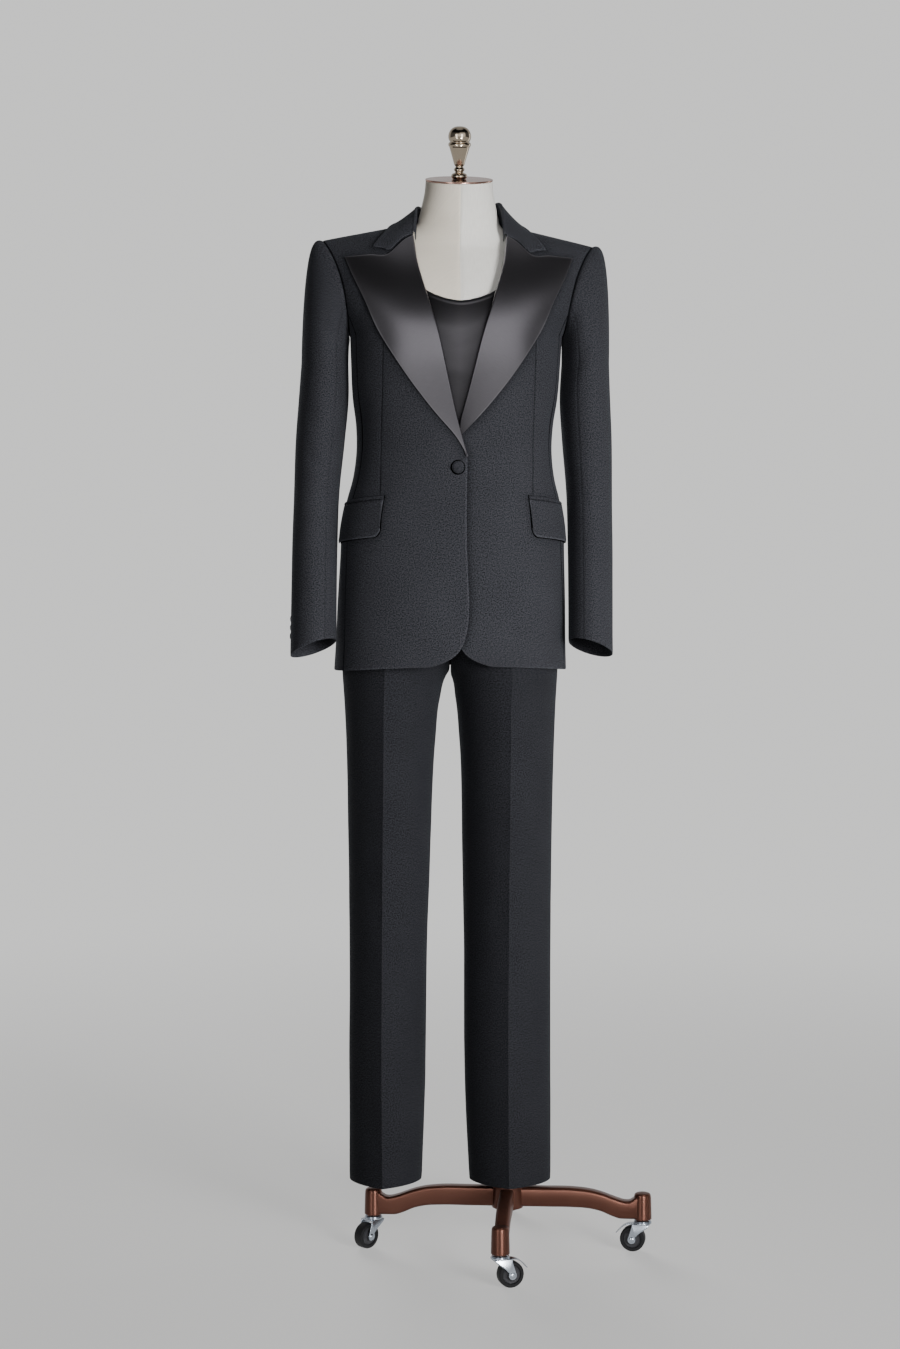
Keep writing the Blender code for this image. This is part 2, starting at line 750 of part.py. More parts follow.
def sleeve_skin(around, v, side):
    """From the cuff (0) to the armhole (1): an upright tube, then a head whose lines leave the armhole
    outwards and bend down over a quarter of an oval."""
    height = between(CUFF_Z, SLEEVE_HEAD_Z, np.clip(v / 0.6, 0, 1))
    tube = sleeve_ring(around, height, side)
    start = armhole(around, side)
    end = sleeve_ring(around, np.full(np.shape(v), SLEEVE_HEAD_Z), side)
    turn = (1 - np.clip((v - 0.6) / 0.4, 0, 1)) * math.pi / 2
    square = between(1, HEAD_SQUARE, np.maximum(np.cos(around), 0))
    share = np.stack([np.sin(turn) ** square, np.sin(turn), 1 - np.cos(turn)], axis=-1)
    return np.where((v <= 0.6)[..., None], tube, start + (end - start) * share)


def sleeve_back_seam(v):
    return -between(SLEEVE_BACK_SEAM[1], SLEEVE_BACK_SEAM[0], smooth(0.05, 0.9, v))


def sleeve_piece(side, under):
    def shape(u, v):
        share = 1 - u if side > 0 else u
        gap = between(*SLEEVE_SEAM, smooth(0.4, 0.65, v))
        if under:
            start = SLEEVE_FRONT_SEAM + gap
            end = 2 * math.pi + sleeve_back_seam(v) - gap
        else:
            start = sleeve_back_seam(v) + gap
            end = SLEEVE_FRONT_SEAM - gap
        return on_form(sleeve_skin(between(start, end, share), v, side))

    return shape


for name, side in (("right", -1), ("left", 1)):
    panel(f"sleeve_upper_{name}", 8, 15, sleeve_piece(side, False), WOOL, wool)
    panel(f"sleeve_under_{name}", 6, 15, sleeve_piece(side, True), WOOL, wool)


# ---------------------------------------------------------------------------------------------
# Pockets
# ---------------------------------------------------------------------------------------------


def pocket_line(share):
    """The pocket's mouth falls a little towards the side."""
    return POCKET_Z - POCKET_FALL * share


def flap_depth(share):
    """The flap's depth, with a rounded corner at each end."""
    along = POCKET_LENGTH * np.minimum(share, 1 - share)
    inside = np.clip(1 - along / FLAP_CORNER, 0, 1)
    return FLAP_DEPTH - FLAP_CORNER * (1 - np.sqrt(1 - inside**2))


def pocket_piece(side, low, high, lift):
    def shape(u, v):
        share = u if side > 0 else 1 - u
        level = between(low(share), high(share), v)
        return coat(side * between(POCKET_FROM, POCKET_TO, share), level, lift)

    return shape


for name, side in (("right", -1), ("left", 1)):
    flap = pocket_piece(side, lambda s: pocket_line(s) - flap_depth(s), pocket_line, WOOL + 0.0012)
    jet = pocket_piece(
        side, lambda s: pocket_line(s) + SEAM, lambda s: pocket_line(s) + JET_HEIGHT, WOOL + 0.0008
    )
    panel(f"pocket_flap_{name}", 12, 3, flap, WOOL, wool)
    panel(f"pocket_jet_{name}", 8, 1, jet, SATIN, wool)


# ---------------------------------------------------------------------------------------------
# Buttons
# ---------------------------------------------------------------------------------------------


def dome(radius, height, rim, rings=4):
    """A button's profile, from its crown down its rim to the middle of its back."""
    crown = [
        (radius * math.sin(turn), rim + (height - rim) * math.cos(turn))
        for turn in (math.pi / 2 * ring / rings for ring in range(rings + 1))
    ]
    return [*crown, (radius * 0.86, 0), (0, 0)]


def set_on(thing, place, outward):
    """Stands a turned piece on a surface, its axis along the outward direction."""
    from_z = np.array([0.0, 0.0, 1.0])
    axis = np.cross(from_z, outward)
    angle = math.atan2(np.linalg.norm(axis), outward[2])
    axis /= np.linalg.norm(axis)
    thing.rotation_mode = "AXIS_ANGLE"
    thing.rotation_axis_angle = (angle, *axis)
    thing.location = place


def on_surface(shape, *at):
    """A point of a surface and the direction out of it, from two nearby points each way."""
    u, v = (np.array([value]) for value in at)
    step = 0.003
    across = shape(u + step, v) - shape(u - step, v)
    up = shape(u, v + step) - shape(u, v - step)
    outward = np.cross(across, up)[0]
    return shape(u, v)[0], outward / np.linalg.norm(outward)


button = turned(
    "front_button", dome(FRONT_BUTTON_RADIUS, FRONT_BUTTON_HEIGHT, 0.002), 20, wool
)
place, outward = on_surface(lambda a, z: coat(a, z, LAP_LIFT), 0.0, FRONT_BUTTON_Z)
set_on(button, place + outward * 0.0018, outward)

for name, side in (("right", -1), ("left", 1)):
    for number in range(CUFF_BUTTONS):
        piece = turned(
            f"cuff_button_{name}_{number + 1}",
            dome(CUFF_BUTTON_RADIUS, CUFF_BUTTON_HEIGHT, 0.0012, 2),
            12,
            wool,
        )
        height = CUFF_Z + 0.030 + CUFF_BUTTON_PITCH * number
        share = 0.6 * (height - CUFF_Z) / (SLEEVE_HEAD_Z - CUFF_Z)
        skin = lambda a, v: on_form(sleeve_skin(a, v, side))
        place, outward = on_surface(skin, -CUFF_BUTTON_AT, share)
        set_on(piece, place - side * outward * 0.0005, -side * outward)


# ---------------------------------------------------------------------------------------------
# Trousers
# ---------------------------------------------------------------------------------------------


def leg_oval(height, side):
    """The leg's middle and half width. Above the fork the oval grows until it is the whole hip's. The gap
    between the legs lies a little to one side."""
    outer = flow(TROUSERS, "outer", height)
    inner = flow(TROUSERS, "inner", height) - side * flow(TROUSERS, "shift", height)
    inner = np.maximum(inner, -outer)
    return (outer + inner) / 2, (outer - inner) / 2


def leg_end(height, side):
    """The angle of the inner edge: the inseam on the leg, the middle seam above the fork."""
    middle, half = leg_oval(height, side)
    return -np.arcsin(np.clip((middle - SEAM) / half, 0, 1))


def crease_angle(height, side):
    middle, half = leg_oval(height, side)
    x = CREASE_X - side * flow(TROUSERS, "shift", height)
    return np.arcsin(np.clip((x - middle) / half, -1, 1))


def trouser_skin(angle, height, side, behind):
    """An oval drawn to a point at the crease, where the leg is pressed."""
    middle, half = leg_oval(height, side)
    crease = np.sin(crease_angle(height, side))
    depth = flow(TROUSERS, "back" if behind else "front", height)
    sharp = flow(TROUSERS, "crease", height)
    across = np.sin(angle)
    tent = np.where(
        across > crease, (1 - across) / (1 - crease), (1 + across) / (1 + crease)
    )
    along = (1 - sharp) * np.cos(angle) + sharp * tent
    x = side * (middle + half * across)
    y = (1 if behind else -1) * depth * along
    return np.stack([x, y, height], axis=-1)


def trouser_turn(z):
    return FORM_TURN * smooth(0.88, 1.05, z)


def trouser_piece(side, behind):
    def shape(u, v):
        height = trouser_rows(v)
        to_side = u if (side > 0) != behind else 1 - u
        round_ = 1 - flow(TROUSERS, "crease", height)
        gap = SEAM / (flow(TROUSERS, "front", height) * round_)
        outer = math.pi / 2 - gap
        inner = leg_end(height, side) + gap
        crease = crease_angle(height, side)
        angle = np.where(
            to_side < 0.5,
            between(inner, crease, to_side / 0.5),
            between(crease, outer, (to_side - 0.5) / 0.5),
        )
        points = trouser_skin(angle, height, side, behind)
        return on_form(points, trouser_turn(height))

    return shape


def trouser_rows(v):
    """Rows from the hem to the waist, closer together about the fork."""
    leg = between(TROUSER_HEM_Z, 0.82, np.clip(v * 3, 0, 1) ** 0.9)
    fork = between(0.82, 0.98, (v * 12 - 4) / 5)
    hip = between(0.98, WAIST_Z - SEAM, (v * 12 - 9) / 3)
    return np.where(v < 0.333, leg, np.where(v < 0.75, fork, hip))


def waistband(u, v):
    angle = between(SEAM / 0.1, 2 * math.pi - SEAM / 0.1, u)
    height = between(WAIST_Z + SEAM, WAISTBAND_TOP_Z, v)
    behind = np.cos(angle) < 0
    folded = np.where(behind, math.pi - angle, angle)
    ahead_points = trouser_skin(folded, height, 1, False)
    back_points = trouser_skin(folded, height, 1, True)
    points = np.where(behind[..., None], back_points, ahead_points)
    return on_form(points, FORM_TURN)


for name, side in (("right", -1), ("left", 1)):
    panel(f"trouser_front_{name}", 8, 12, trouser_piece(side, False), WOOL, wool)
    panel(f"trouser_back_{name}", 8, 12, trouser_piece(side, True), WOOL, wool)
panel("trouser_waistband", 24, 1, waistband, 0.0022, wool)


# ---------------------------------------------------------------------------------------------
# Top
# ---------------------------------------------------------------------------------------------


def top_lift(level):
    """The top lies under the coat, and further in at the waist, where the trousers hold it."""
    return -between(*TOP_LIFT, smooth(1.175, 1.27, level))


def top_piece(behind):
    """Columns from side to side, each running up to the neckline or the shoulder."""
    most = ARMHOLE_REACH_BACK if behind else ARMHOLE_REACH_FRONT
    neck = TOP_BACK_NECK_Z if behind else TOP_NECK_Z

    def half_angle(level):
        strap = coat_angle(np.float64(TOP_STRAP_X), level, most)
        return between(math.pi / 2 - SEAM / 0.3, strap, smooth(1.355, 1.50, level))

    def shape(u, v):
        across = 2 * u - 1
        x = abs(across) * TOP_STRAP_X
        scoop = neck + 0.0145 * (x / 0.05) ** 1.7 + 0.10 * (x / 0.09) ** 8
        top = np.minimum(coat_level(x, scoop), SHOULDER_Z - 0.0006)
        share = np.sign(across) * coat_angle(x, top, most) / half_angle(top)
        level = between(TOP_BOTTOM_Z, top, v)
        angle = share * half_angle(level) + (math.pi if behind else 0)
        return on_form(lifted(coat_skin, angle, level, top_lift(level)))

    return shape


panel("top_front", 14, 10, top_piece(False), SATIN, satin)
panel("top_back", 10, 8, top_piece(True), SATIN, satin)


# ---------------------------------------------------------------------------------------------
# Form, cap and finial
# ---------------------------------------------------------------------------------------------


def form_skin(around, height):
    """Level sections from the hips to the neck, whose top rows tip forward."""
    half = flow(FORM, "half_width", height)
    ahead = np.cos(around) >= 0
    depth = np.where(ahead, flow(FORM, "front", height), flow(FORM, "back", height))
    power = 2 / flow(FORM, "power", height)
    x = half * np.sign(np.sin(around)) * abs(np.sin(around)) ** power
    y = -depth * np.sign(np.cos(around)) * abs(np.cos(around)) ** power
    tip = math.tan(CAP_TILT) * smooth(1.57, NECK_TOP_Z, height)
    roll = SHOULDER_ROLL * np.clip((height - UNDERARM_Z) / 0.165, 0, 1)
    roll *= 1 - smooth(1.54, 1.58, height)
    return np.stack([x, y, height + y * tip - x * roll], axis=-1)


def form_body(sides=20):
    """The form's sections bridged into one closed body."""
    heights = FORM["height"]
    around = np.linspace(0, 2 * math.pi, sides, endpoint=False)
    bm = bmesh.new()
    rings = []
    for height in heights:
        points = on_form(form_skin(around, np.full(sides, height)))
        rings.append([bm.verts.new(point) for point in points])
    for low, high in zip(rings, rings[1:]):
        for here in range(sides):
            there = (here + 1) % sides
            bm.faces.new((low[here], low[there], high[there], high[here]))
    bm.faces.new(list(reversed(rings[0])))
    bm.faces.new(rings[-1])
    return add("form_body", mesh_from(bm, "form_body"), linen)


form_body()

cap_axis = bpy.data.objects.new("cap_axis", None)
cap_axis.parent = root
cap_axis.location = on_form(np.array([0, 0, NECK_TOP_Z]))
cap_axis.rotation_euler = (CAP_TILT, 0, FORM_TURN)
parts.objects.link(cap_axis)

CAP = [
    (0, CAP_THICKNESS),
    (CAP_RADIUS - 0.001, CAP_THICKNESS),
    (CAP_RADIUS, CAP_THICKNESS - 0.001),
    (CAP_RADIUS, SEAM),
    (0, SEAM),
]
turned("form_cap", CAP, 24, gilt, cap_axis)

# Height above the cap and radius of the finial's turnings, from the crown of its ball down.
FINIAL = table(
    "height radius",
    (0.0820, 0.0000),
    (0.0805, 0.0070),
    (0.0760, 0.0130),
    (0.0670, 0.0172),
    (0.0610, 0.0160),
    (0.0590, 0.0148),
    (0.0570, 0.0170),
    (0.0535, 0.0170),
    (0.0515, 0.0158),
    (0.0240, 0.0078),
    (0.0220, 0.0060),
    (0.0190, 0.0081),
    (0.0165, 0.0081),
    (0.0135, 0.0062),
    (0.0115, 0.0105),
    (0.0075, 0.0122),
    (0.0040, 0.0105),
    (0.0034, 0.0090),
    (0.0034, 0.0000),
)
turned("form_finial", list(zip(FINIAL["radius"], FINIAL["height"])), 12, gilt, cap_axis)


# ---------------------------------------------------------------------------------------------
# Stand
# ---------------------------------------------------------------------------------------------


def flat_piece(name, outline, thickness):
    """A flat outline, given along x and z, given its thickness along y, as a mesh object."""
    bm = bmesh.new()
    points = [bm.verts.new((x, -thickness / 2, z)) for x, z in outline]
    face = bm.faces.new(points)
    made = bmesh.ops.extrude_face_region(bm, geom=[face])["geom"]
    moved = [item for item in made if isinstance(item, bmesh.types.BMVert)]
    bmesh.ops.translate(bm, verts=moved, vec=(0, thickness, 0))
    bmesh.ops.recalc_face_normals(bm, faces=bm.faces)
    return bpy.data.objects.new(name, mesh_from(bm, name))


def rod(name, radius, start, end, sides=20, top_radius=None):
    """A round bar between two heights on +Z."""
    bm = bmesh.new()
    bmesh.ops.create_cone(
        bm,
        cap_ends=True,
        segments=sides,
        radius1=radius,
        radius2=radius if top_radius is None else top_radius,
        depth=end - start,
    )
    bmesh.ops.translate(bm, verts=bm.verts, vec=(0, 0, (start + end) / 2))
    return bpy.data.objects.new(name, mesh_from(bm, name))


def as_cutter(thing, parent):
    thing.parent = parent
    thing.display_type = "WIRE"
    thing.hide_render = True
    cutters.objects.link(thing)
    return thing


def combine(base, other, operation):
    step = base.modifiers.new(other.name, "BOOLEAN")
    step.operation = operation
    step.solver = "EXACT"
    step.object = other
    return step


stand_axis = bpy.data.objects.new("stand_axis", None)
stand_axis.parent = root
stand_axis.location = (STAND_X, 0, 0)
stand_axis.rotation_euler = (0, 0, STAND_TURN)
parts.objects.link(stand_axis)

# The arm's side view: distance from the hub's axis and height, along its top and back along its underside.
ARM_TOP = ((0.005, 0.0955), (0.100, 0.0955), (0.1375, 0.0900), (0.1560, 0.0835), (0.1780, 0.0765))
ARM_STUB = ((0.1880, 0.0785), (0.1950, 0.0850), (0.2040, 0.0865), (0.2040, 0.0500))
ARM_UNDER = ((0.1660, 0.0500), (0.1430, 0.0600), (0.1120, 0.0660), (0.005, 0.0660))
ARM_NAMES = ("left", "back", "right", "front")

hub_mesh = rod("hub", HUB_RADIUS, 0.0635, HUB_TOP_Z, 28).data
base = add("stand_base", hub_mesh, copper, stand_axis)
for number, name in enumerate(ARM_NAMES):
    direction = math.pi - math.pi / 2 * number
    arm = flat_piece(f"arm_{name}", ARM_TOP + ARM_STUB + ARM_UNDER, ARM_WIDTH)
    arm.rotation_euler = (0, 0, direction)
    combine(base, as_cutter(arm, stand_axis), "UNION")
    stub = rod(f"stub_{name}", STUB_RADII[0], STUB_BOTTOM_Z, STUB_TOP_Z, 20, STUB_RADII[1])
    stub.location = (ARM_REACH * math.cos(direction), ARM_REACH * math.sin(direction), 0)
    combine(base, as_cutter(stub, stand_axis), "UNION")
    socket_radius = (STEM_RADIUS + RUNNING_GAP) / math.cos(math.pi / 16)
    socket_top = STUB_BOTTOM_Z + STEM_HEIGHT + 0.001
    socket = rod(f"socket_{name}", socket_radius, STUB_BOTTOM_Z - 0.001, socket_top, 16)
    socket.location = stub.location
    combine(base, as_cutter(socket, stand_axis), "DIFFERENCE")

pole = rod("pole", POLE_RADIUS, HUB_TOP_Z + 0.0003, FORM["height"][0] - 0.0003, 20)
add("stand_pole", pole.data, copper, stand_axis)
bpy.data.objects.remove(pole)


# ---------------------------------------------------------------------------------------------
# Casters
# ---------------------------------------------------------------------------------------------

# The way each caster trails, as an angle about the upright axis from +X.
CASTERS = {
    "left": math.radians(225),
    "back": math.radians(120),
    "right": math.radians(166.5),
    "front": math.radians(18.5),
}
BRAKED = ("right", "front")
FORK_TOP_Z = 0.0425
HEAD_RADIUS = 0.0135
EYE_RADIUS = 0.0062


def fork_outline():
    """A side plate: wide under the swivel, narrowing to a round eye about the axle."""
    eye = [
        (
            CASTER_TRAIL + EYE_RADIUS * math.cos(turn),
            WHEEL_RADIUS + EYE_RADIUS * math.sin(turn),
        )
        for turn in np.radians(np.linspace(20, -200, 7))
    ]
    return [(-0.011, FORK_TOP_Z), (0.0135, FORK_TOP_Z), *eye]


def brake_outline():
    """The brake's plate seen from the side: out of the head, over the wheel and down behind it."""
    path = ((0.004, 0.0412), (0.024, 0.0400), (0.034, 0.0330), (0.0400, 0.0270))
    upper = [(x, z + 0.0007) for x, z in path]
    lower = [(x - 0.0004, z - 0.0007) for x, z in reversed(path)]
    return upper + lower


def caster(name, direction, trail_angle):
    swivel = bpy.data.objects.new(f"swivel_{name}", None)
    swivel.parent = stand_axis
    swivel.location = (ARM_REACH * math.cos(direction), ARM_REACH * math.sin(direction), 0)
    swivel.rotation_euler = (0, 0, trail_angle - STAND_TURN)
    parts.objects.link(swivel)

    head = rod(f"head_{name}", HEAD_RADIUS, FORK_TOP_Z - 0.0014, STUB_BOTTOM_Z - 0.0004, 16)
    fork = add(f"caster_{name}_fork", head.data, zinc, swivel)
    bpy.data.objects.remove(head)
    stem = rod(f"stem_{name}", STEM_RADIUS, FORK_TOP_Z, STUB_BOTTOM_Z + STEM_HEIGHT, 12)
    combine(fork, as_cutter(stem, swivel), "UNION")
    for hand in (-1, 1):
        plate = flat_piece(f"plate_{name}_{hand}", fork_outline(), FORK_PLATE)
        plate.location = (0, hand * FORK_HALF_WIDTH, 0)
        combine(fork, as_cutter(plate, swivel), "UNION")
    axle = rod(f"axle_{name}", AXLE_RADIUS, -FORK_HALF_WIDTH - 0.002, FORK_HALF_WIDTH + 0.002, 12)
    axle.location = (CASTER_TRAIL, 0, WHEEL_RADIUS)
    axle.rotation_euler = (math.pi / 2, 0, 0)
    combine(fork, as_cutter(axle, swivel), "UNION")

    bore = (AXLE_RADIUS + RUNNING_GAP) / math.cos(math.pi / 24)
    half = WHEEL_WIDTH / 2
    rim = WHEEL_RADIUS / math.cos(math.pi / 24)
    profile = [(bore, half), (rim - 0.003, half), (rim, half - 0.003)]
    profile += [(radius, -height) for radius, height in reversed(profile)] + [(bore, half)]
    wheel = turned(f"caster_{name}_wheel", profile, 24, tyre, swivel)
    wheel.location = (CASTER_TRAIL, 0, WHEEL_RADIUS)
    wheel.rotation_euler = (math.pi / 2, math.pi / 24, 0)
    if name in BRAKED:
        pedal = flat_piece(f"pedal_{name}", brake_outline(), 0.013)
        combine(fork, as_cutter(pedal, swivel), "UNION")


for number, name in enumerate(ARM_NAMES):
    caster(name, math.pi - math.pi / 2 * number, CASTERS[name])
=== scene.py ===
# %% [markdown]
# # A one-button tuxedo on a rolling dress form
#
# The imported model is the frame: it holds every piece of the garment and of the stand at its real size and
# place, but plainly. This lesson dresses it. Each cloth piece is worked out again on the same form as its
# solid, with a fine grid, so that seams, darts, rolled edges and soft creases can be shown, and each metal
# piece gets the curves and rounded edges of the real one. Nothing here moves or resizes what the frame
# holds.

import json
import math

import bmesh
import bpy
import numpy as np
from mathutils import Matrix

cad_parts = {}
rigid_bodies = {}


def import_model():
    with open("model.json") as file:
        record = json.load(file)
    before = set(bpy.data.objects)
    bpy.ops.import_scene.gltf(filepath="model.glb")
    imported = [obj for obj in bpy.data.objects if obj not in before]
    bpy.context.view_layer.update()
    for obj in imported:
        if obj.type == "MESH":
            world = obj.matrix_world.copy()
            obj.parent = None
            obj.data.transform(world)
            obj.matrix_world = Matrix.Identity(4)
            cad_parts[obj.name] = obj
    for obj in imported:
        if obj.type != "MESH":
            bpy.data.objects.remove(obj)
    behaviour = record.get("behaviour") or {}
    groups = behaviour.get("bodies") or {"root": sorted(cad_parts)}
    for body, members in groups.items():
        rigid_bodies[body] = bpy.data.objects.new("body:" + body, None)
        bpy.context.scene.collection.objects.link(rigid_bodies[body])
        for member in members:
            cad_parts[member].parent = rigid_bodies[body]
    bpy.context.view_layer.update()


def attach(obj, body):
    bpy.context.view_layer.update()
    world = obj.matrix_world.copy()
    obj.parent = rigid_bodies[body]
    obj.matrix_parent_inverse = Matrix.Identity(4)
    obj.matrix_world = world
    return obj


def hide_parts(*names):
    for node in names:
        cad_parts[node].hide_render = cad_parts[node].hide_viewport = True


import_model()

# %% [markdown]
# ## Curves through short tables
#
# A tailor's block is a short list of measures: how wide and deep the body is at a few heights. The same
# idea drives every shape here. A table has a row for each height and a column for each measure, and `flow`
# draws one smooth curve through a column, so any number of in-between heights can be read from it at once.

# %% Tables and curves


def table(columns, rows, plain=""):
    """One array for each named column of a short table. It is written in millimetres and becomes metres,
    but the columns named in `plain` are shares or powers and stay as they are."""
    values = np.array([row.split() for row in rows.strip().splitlines()], float).T
    return {
        name: column / (1 if name in plain.split() else 1000) for name, column in zip(columns.split(), values)
    }


def flow(rows, column, at, key="height"):
    """A smooth curve through one column, read at each value of the key column. Between two rows it is the
    cubic that leaves and arrives with the slopes of its neighbours (Hermite's form)."""
    x, y = rows[key], rows[column]
    slope = np.gradient(y, x)
    at = np.clip(at, x[0], x[-1])
    low = np.clip(np.searchsorted(x, at, side="right") - 1, 0, len(x) - 2)
    step = x[low + 1] - x[low]
    share = (at - x[low]) / step
    start = y[low] * (1 + 2 * share) + step * slope[low] * share
    end = y[low + 1] * (3 - 2 * share) + step * slope[low + 1] * (share - 1)
    return start * (1 - share) ** 2 + end * share**2


def share_of(value, low, high):
    """How far a value is on the way from low to high, held between 0 and 1."""
    return np.clip((value - low) / (high - low), 0, 1)


def smooth(low, high, at):
    """0 below low, 1 above high, and an S between them: three squares less two cubes of the share."""
    share = share_of(at, low, high)
    return share * share * (3 - 2 * share)


def between(start, end, share):
    return start + (end - start) * share


def xyz(*parts):
    """Points from their parts across, back and up, each a number or an array."""
    return np.stack(np.broadcast_arrays(*parts), axis=-1)


def bell(distance, height, width, at=0.0):
    """A bell curve: the height where the distance is `at`, and next to nothing two widths away."""
    return height * np.exp(-(((distance - at) / width) ** 2))


HILL = table("height out", "0 0\n 1000 1000\n 2000 0")
print("half way up a hill of 1 m, its curve is", flow(HILL, "out", 0.5), "m out")

# %% [markdown]
# ## From a grid of points to a piece
#
# Every new piece is one or more grids: rows and columns of points, worked out as whole arrays. A mesh is
# then only the points and the four-sided faces between neighbours, which numpy lists in one go. Cloth also
# needs a UV map in metres, measured along the grid, so that a weave has its real size everywhere and turns
# with the cloth. Solidify gives a sheet its wall on the inner side, and Bevel rounds the thin rim, as a
# pressed edge is.

# %% Grids, meshes and pieces
BOX_MIDDLE = np.array([0.0322, 0.0085, 0.0])
RIM = 0.0004
WOOL = 0.0016
SATIN = 0.0012


def walked(points, axis):
    """How far each point lies along its row or column: the running sum of the steps between neighbours."""
    step = np.linalg.norm(np.diff(points, axis=axis), axis=-1)
    return np.concatenate([0 * np.take(step, [0], axis=axis), np.cumsum(step, axis=axis)], axis=axis)


def edges(points):
    """How far each point of a grid lies from its first and last column and its first and last row."""
    across, along = walked(points, 1), walked(points, 0)
    return across, across[:, -1:] - across, along, along[-1:] - along


def relieved(points, relief, wrap=False):
    """Moves a grid's points out, square to its rows and columns: the cross product of its steps along
    both."""
    ring = np.concatenate([points[:, -1:], points, points[:, :1]], axis=1) if wrap else points
    normal = np.cross(np.gradient(ring, axis=1), np.gradient(ring, axis=0))
    normal /= np.maximum(np.linalg.norm(normal, axis=-1, keepdims=True), 1e-12)
    return points + (normal[:, 1:-1] if wrap else normal) * relief[..., None]


def grid_mesh(name, grids, wrap):
    """One mesh of several grids. Faces join each point to the next in its row and in its column; a wrapped
    grid's last column is joined to its first. The UV map holds the metres walked along rows and columns."""
    corners, quads, walks, start = [], [], [], 0
    for points in grids:
        rows, columns = points.shape[:2]
        index = start + np.arange(rows * columns).reshape(rows, columns)
        ring = np.concatenate([points, points[:, :1]], axis=1) if wrap else points
        walk = np.stack([walked(ring, 1), walked(ring, 0)], axis=-1)
        if wrap:
            index = np.concatenate([index, index[:, :1]], axis=1)
        corners.append(points.reshape(-1, 3))
        for grid, found in ((index, quads), (walk, walks)):
            square = [grid[:-1, :-1], grid[:-1, 1:], grid[1:, 1:], grid[1:, :-1]]
            found.append(np.stack(square, axis=2).reshape(-1, 4, *grid.shape[2:]))
        start += rows * columns
    mesh = bpy.data.meshes.new(name)
    mesh.from_pydata(np.concatenate(corners).tolist(), [], np.concatenate(quads).tolist())
    uv = mesh.uv_layers.new(name="cloth")
    uv.uv.foreach_set("vector", np.concatenate(walks).astype(np.float32).ravel())
    return mesh


def close_poles(mesh):
    """Merges the points that a pole or a closed end has on one spot."""
    bm = bmesh.new()
    bm.from_mesh(mesh)
    bmesh.ops.remove_doubles(bm, verts=bm.verts, dist=0.00001)
    bm.to_mesh(mesh)
    bm.free()


def piece(name, grids, material, node=None, wall=0.0, wrap=False, sharp=None, body="stand"):
    """A finished piece in the frame's place: its mesh, its wall, its material, the node that it stands for
    and the body it rides on."""
    grids = [grids] if isinstance(grids, np.ndarray) else grids
    mesh = grid_mesh(name, [points - BOX_MIDDLE for points in grids], wrap)
    if not wall:
        close_poles(mesh)
    mesh.shade_smooth()
    if sharp:
        mesh.set_sharp_from_angle(angle=math.radians(sharp))
    mesh.materials.append(material)
    thing = bpy.data.objects.new(name, mesh)
    bpy.context.scene.collection.objects.link(thing)
    if wall:
        solid = thing.modifiers.new("wall", "SOLIDIFY")
        solid.thickness = wall
        solid.offset = -1
        rim = thing.modifiers.new("rim", "BEVEL")
        rim.width = min(RIM, wall * 0.4)
        rim.segments = 2
        rim.angle_limit = math.radians(50)
    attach(thing, body)
    if node:
        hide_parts(node)
    return thing


def paint_light_and_shade(thing, *values):
    """Keeps painted light and shade at each point of a piece: 1 for painted shade in a seam or beside an
    edge that lies on it, less than nothing for a painted highlight where a pressed edge catches the light.
    The darkest of several stays."""
    lines = thing.data.attributes.get("lines") or thing.data.attributes.new("lines", "FLOAT", "POINT")
    found = np.zeros(len(thing.data.vertices), np.float32)
    lines.data.foreach_get("value", found)
    for value in values:
        found = np.where(abs(value.ravel()) > abs(found), value.ravel(), found).astype(np.float32)
    lines.data.foreach_set("value", found)


print("pieces are placed", (-BOX_MIDDLE).tolist(), "from the body's axis")

# %% [markdown]
# ## Materials as small node trees
#
# Each finish is a Principled shader fed by a pattern. The patterns that several finishes share are node
# groups: a twill's diagonal ribs, a plain weave's crossing threads, and the uneven tone of handled metal.
# `put` adds a node and either links or sets each input, which keeps the trees short enough to read.

# %% Node helpers


def put(tree, kind, inputs=None, **settings):
    """Adds a shader node, sets its options, then links or sets each input, named or numbered."""
    node = tree.nodes.new(kind if kind.startswith("Node") else "ShaderNode" + kind)
    for name, value in settings.items():
        setattr(node, name, value)
    for name, value in (inputs or {}).items():
        feed(tree, value, node.inputs[name])
    return node


def feed(tree, value, socket):
    """Links an output to an input, or sets the input to a plain value."""
    if isinstance(value, bpy.types.NodeSocket):
        tree.links.new(value, socket)
    else:
        socket.default_value = value


def sums(tree, operation, *values):
    """One Math node's result."""
    return put(tree, "Math", dict(enumerate(values)), operation=operation).outputs[0]


def more(tree, value, times, plus):
    """The value times one thing, plus another."""
    return sums(tree, "MULTIPLY_ADD", value, times, plus)


def about_half(tree, value, times, plus):
    """The same for how far the value is from a half, which is a noise's middle."""
    return more(tree, sums(tree, "SUBTRACT", value, 0.5), times, plus)


def ramp(tree, value, start, full, low=0.0, high=1.0, kind="SMOOTHSTEP"):
    """Low until the value reaches start, high once it is past full, and an S between them."""
    places = {0: value, 1: start, 2: full, 3: low, 4: high}
    return put(tree, "MapRange", places, interpolation_type=kind).outputs[0]


def dot(tree, vector, direction):
    """How far a vector goes in one direction."""
    return put(tree, "VectorMath", {0: vector, 1: direction}, operation="DOT_PRODUCT").outputs["Value"]


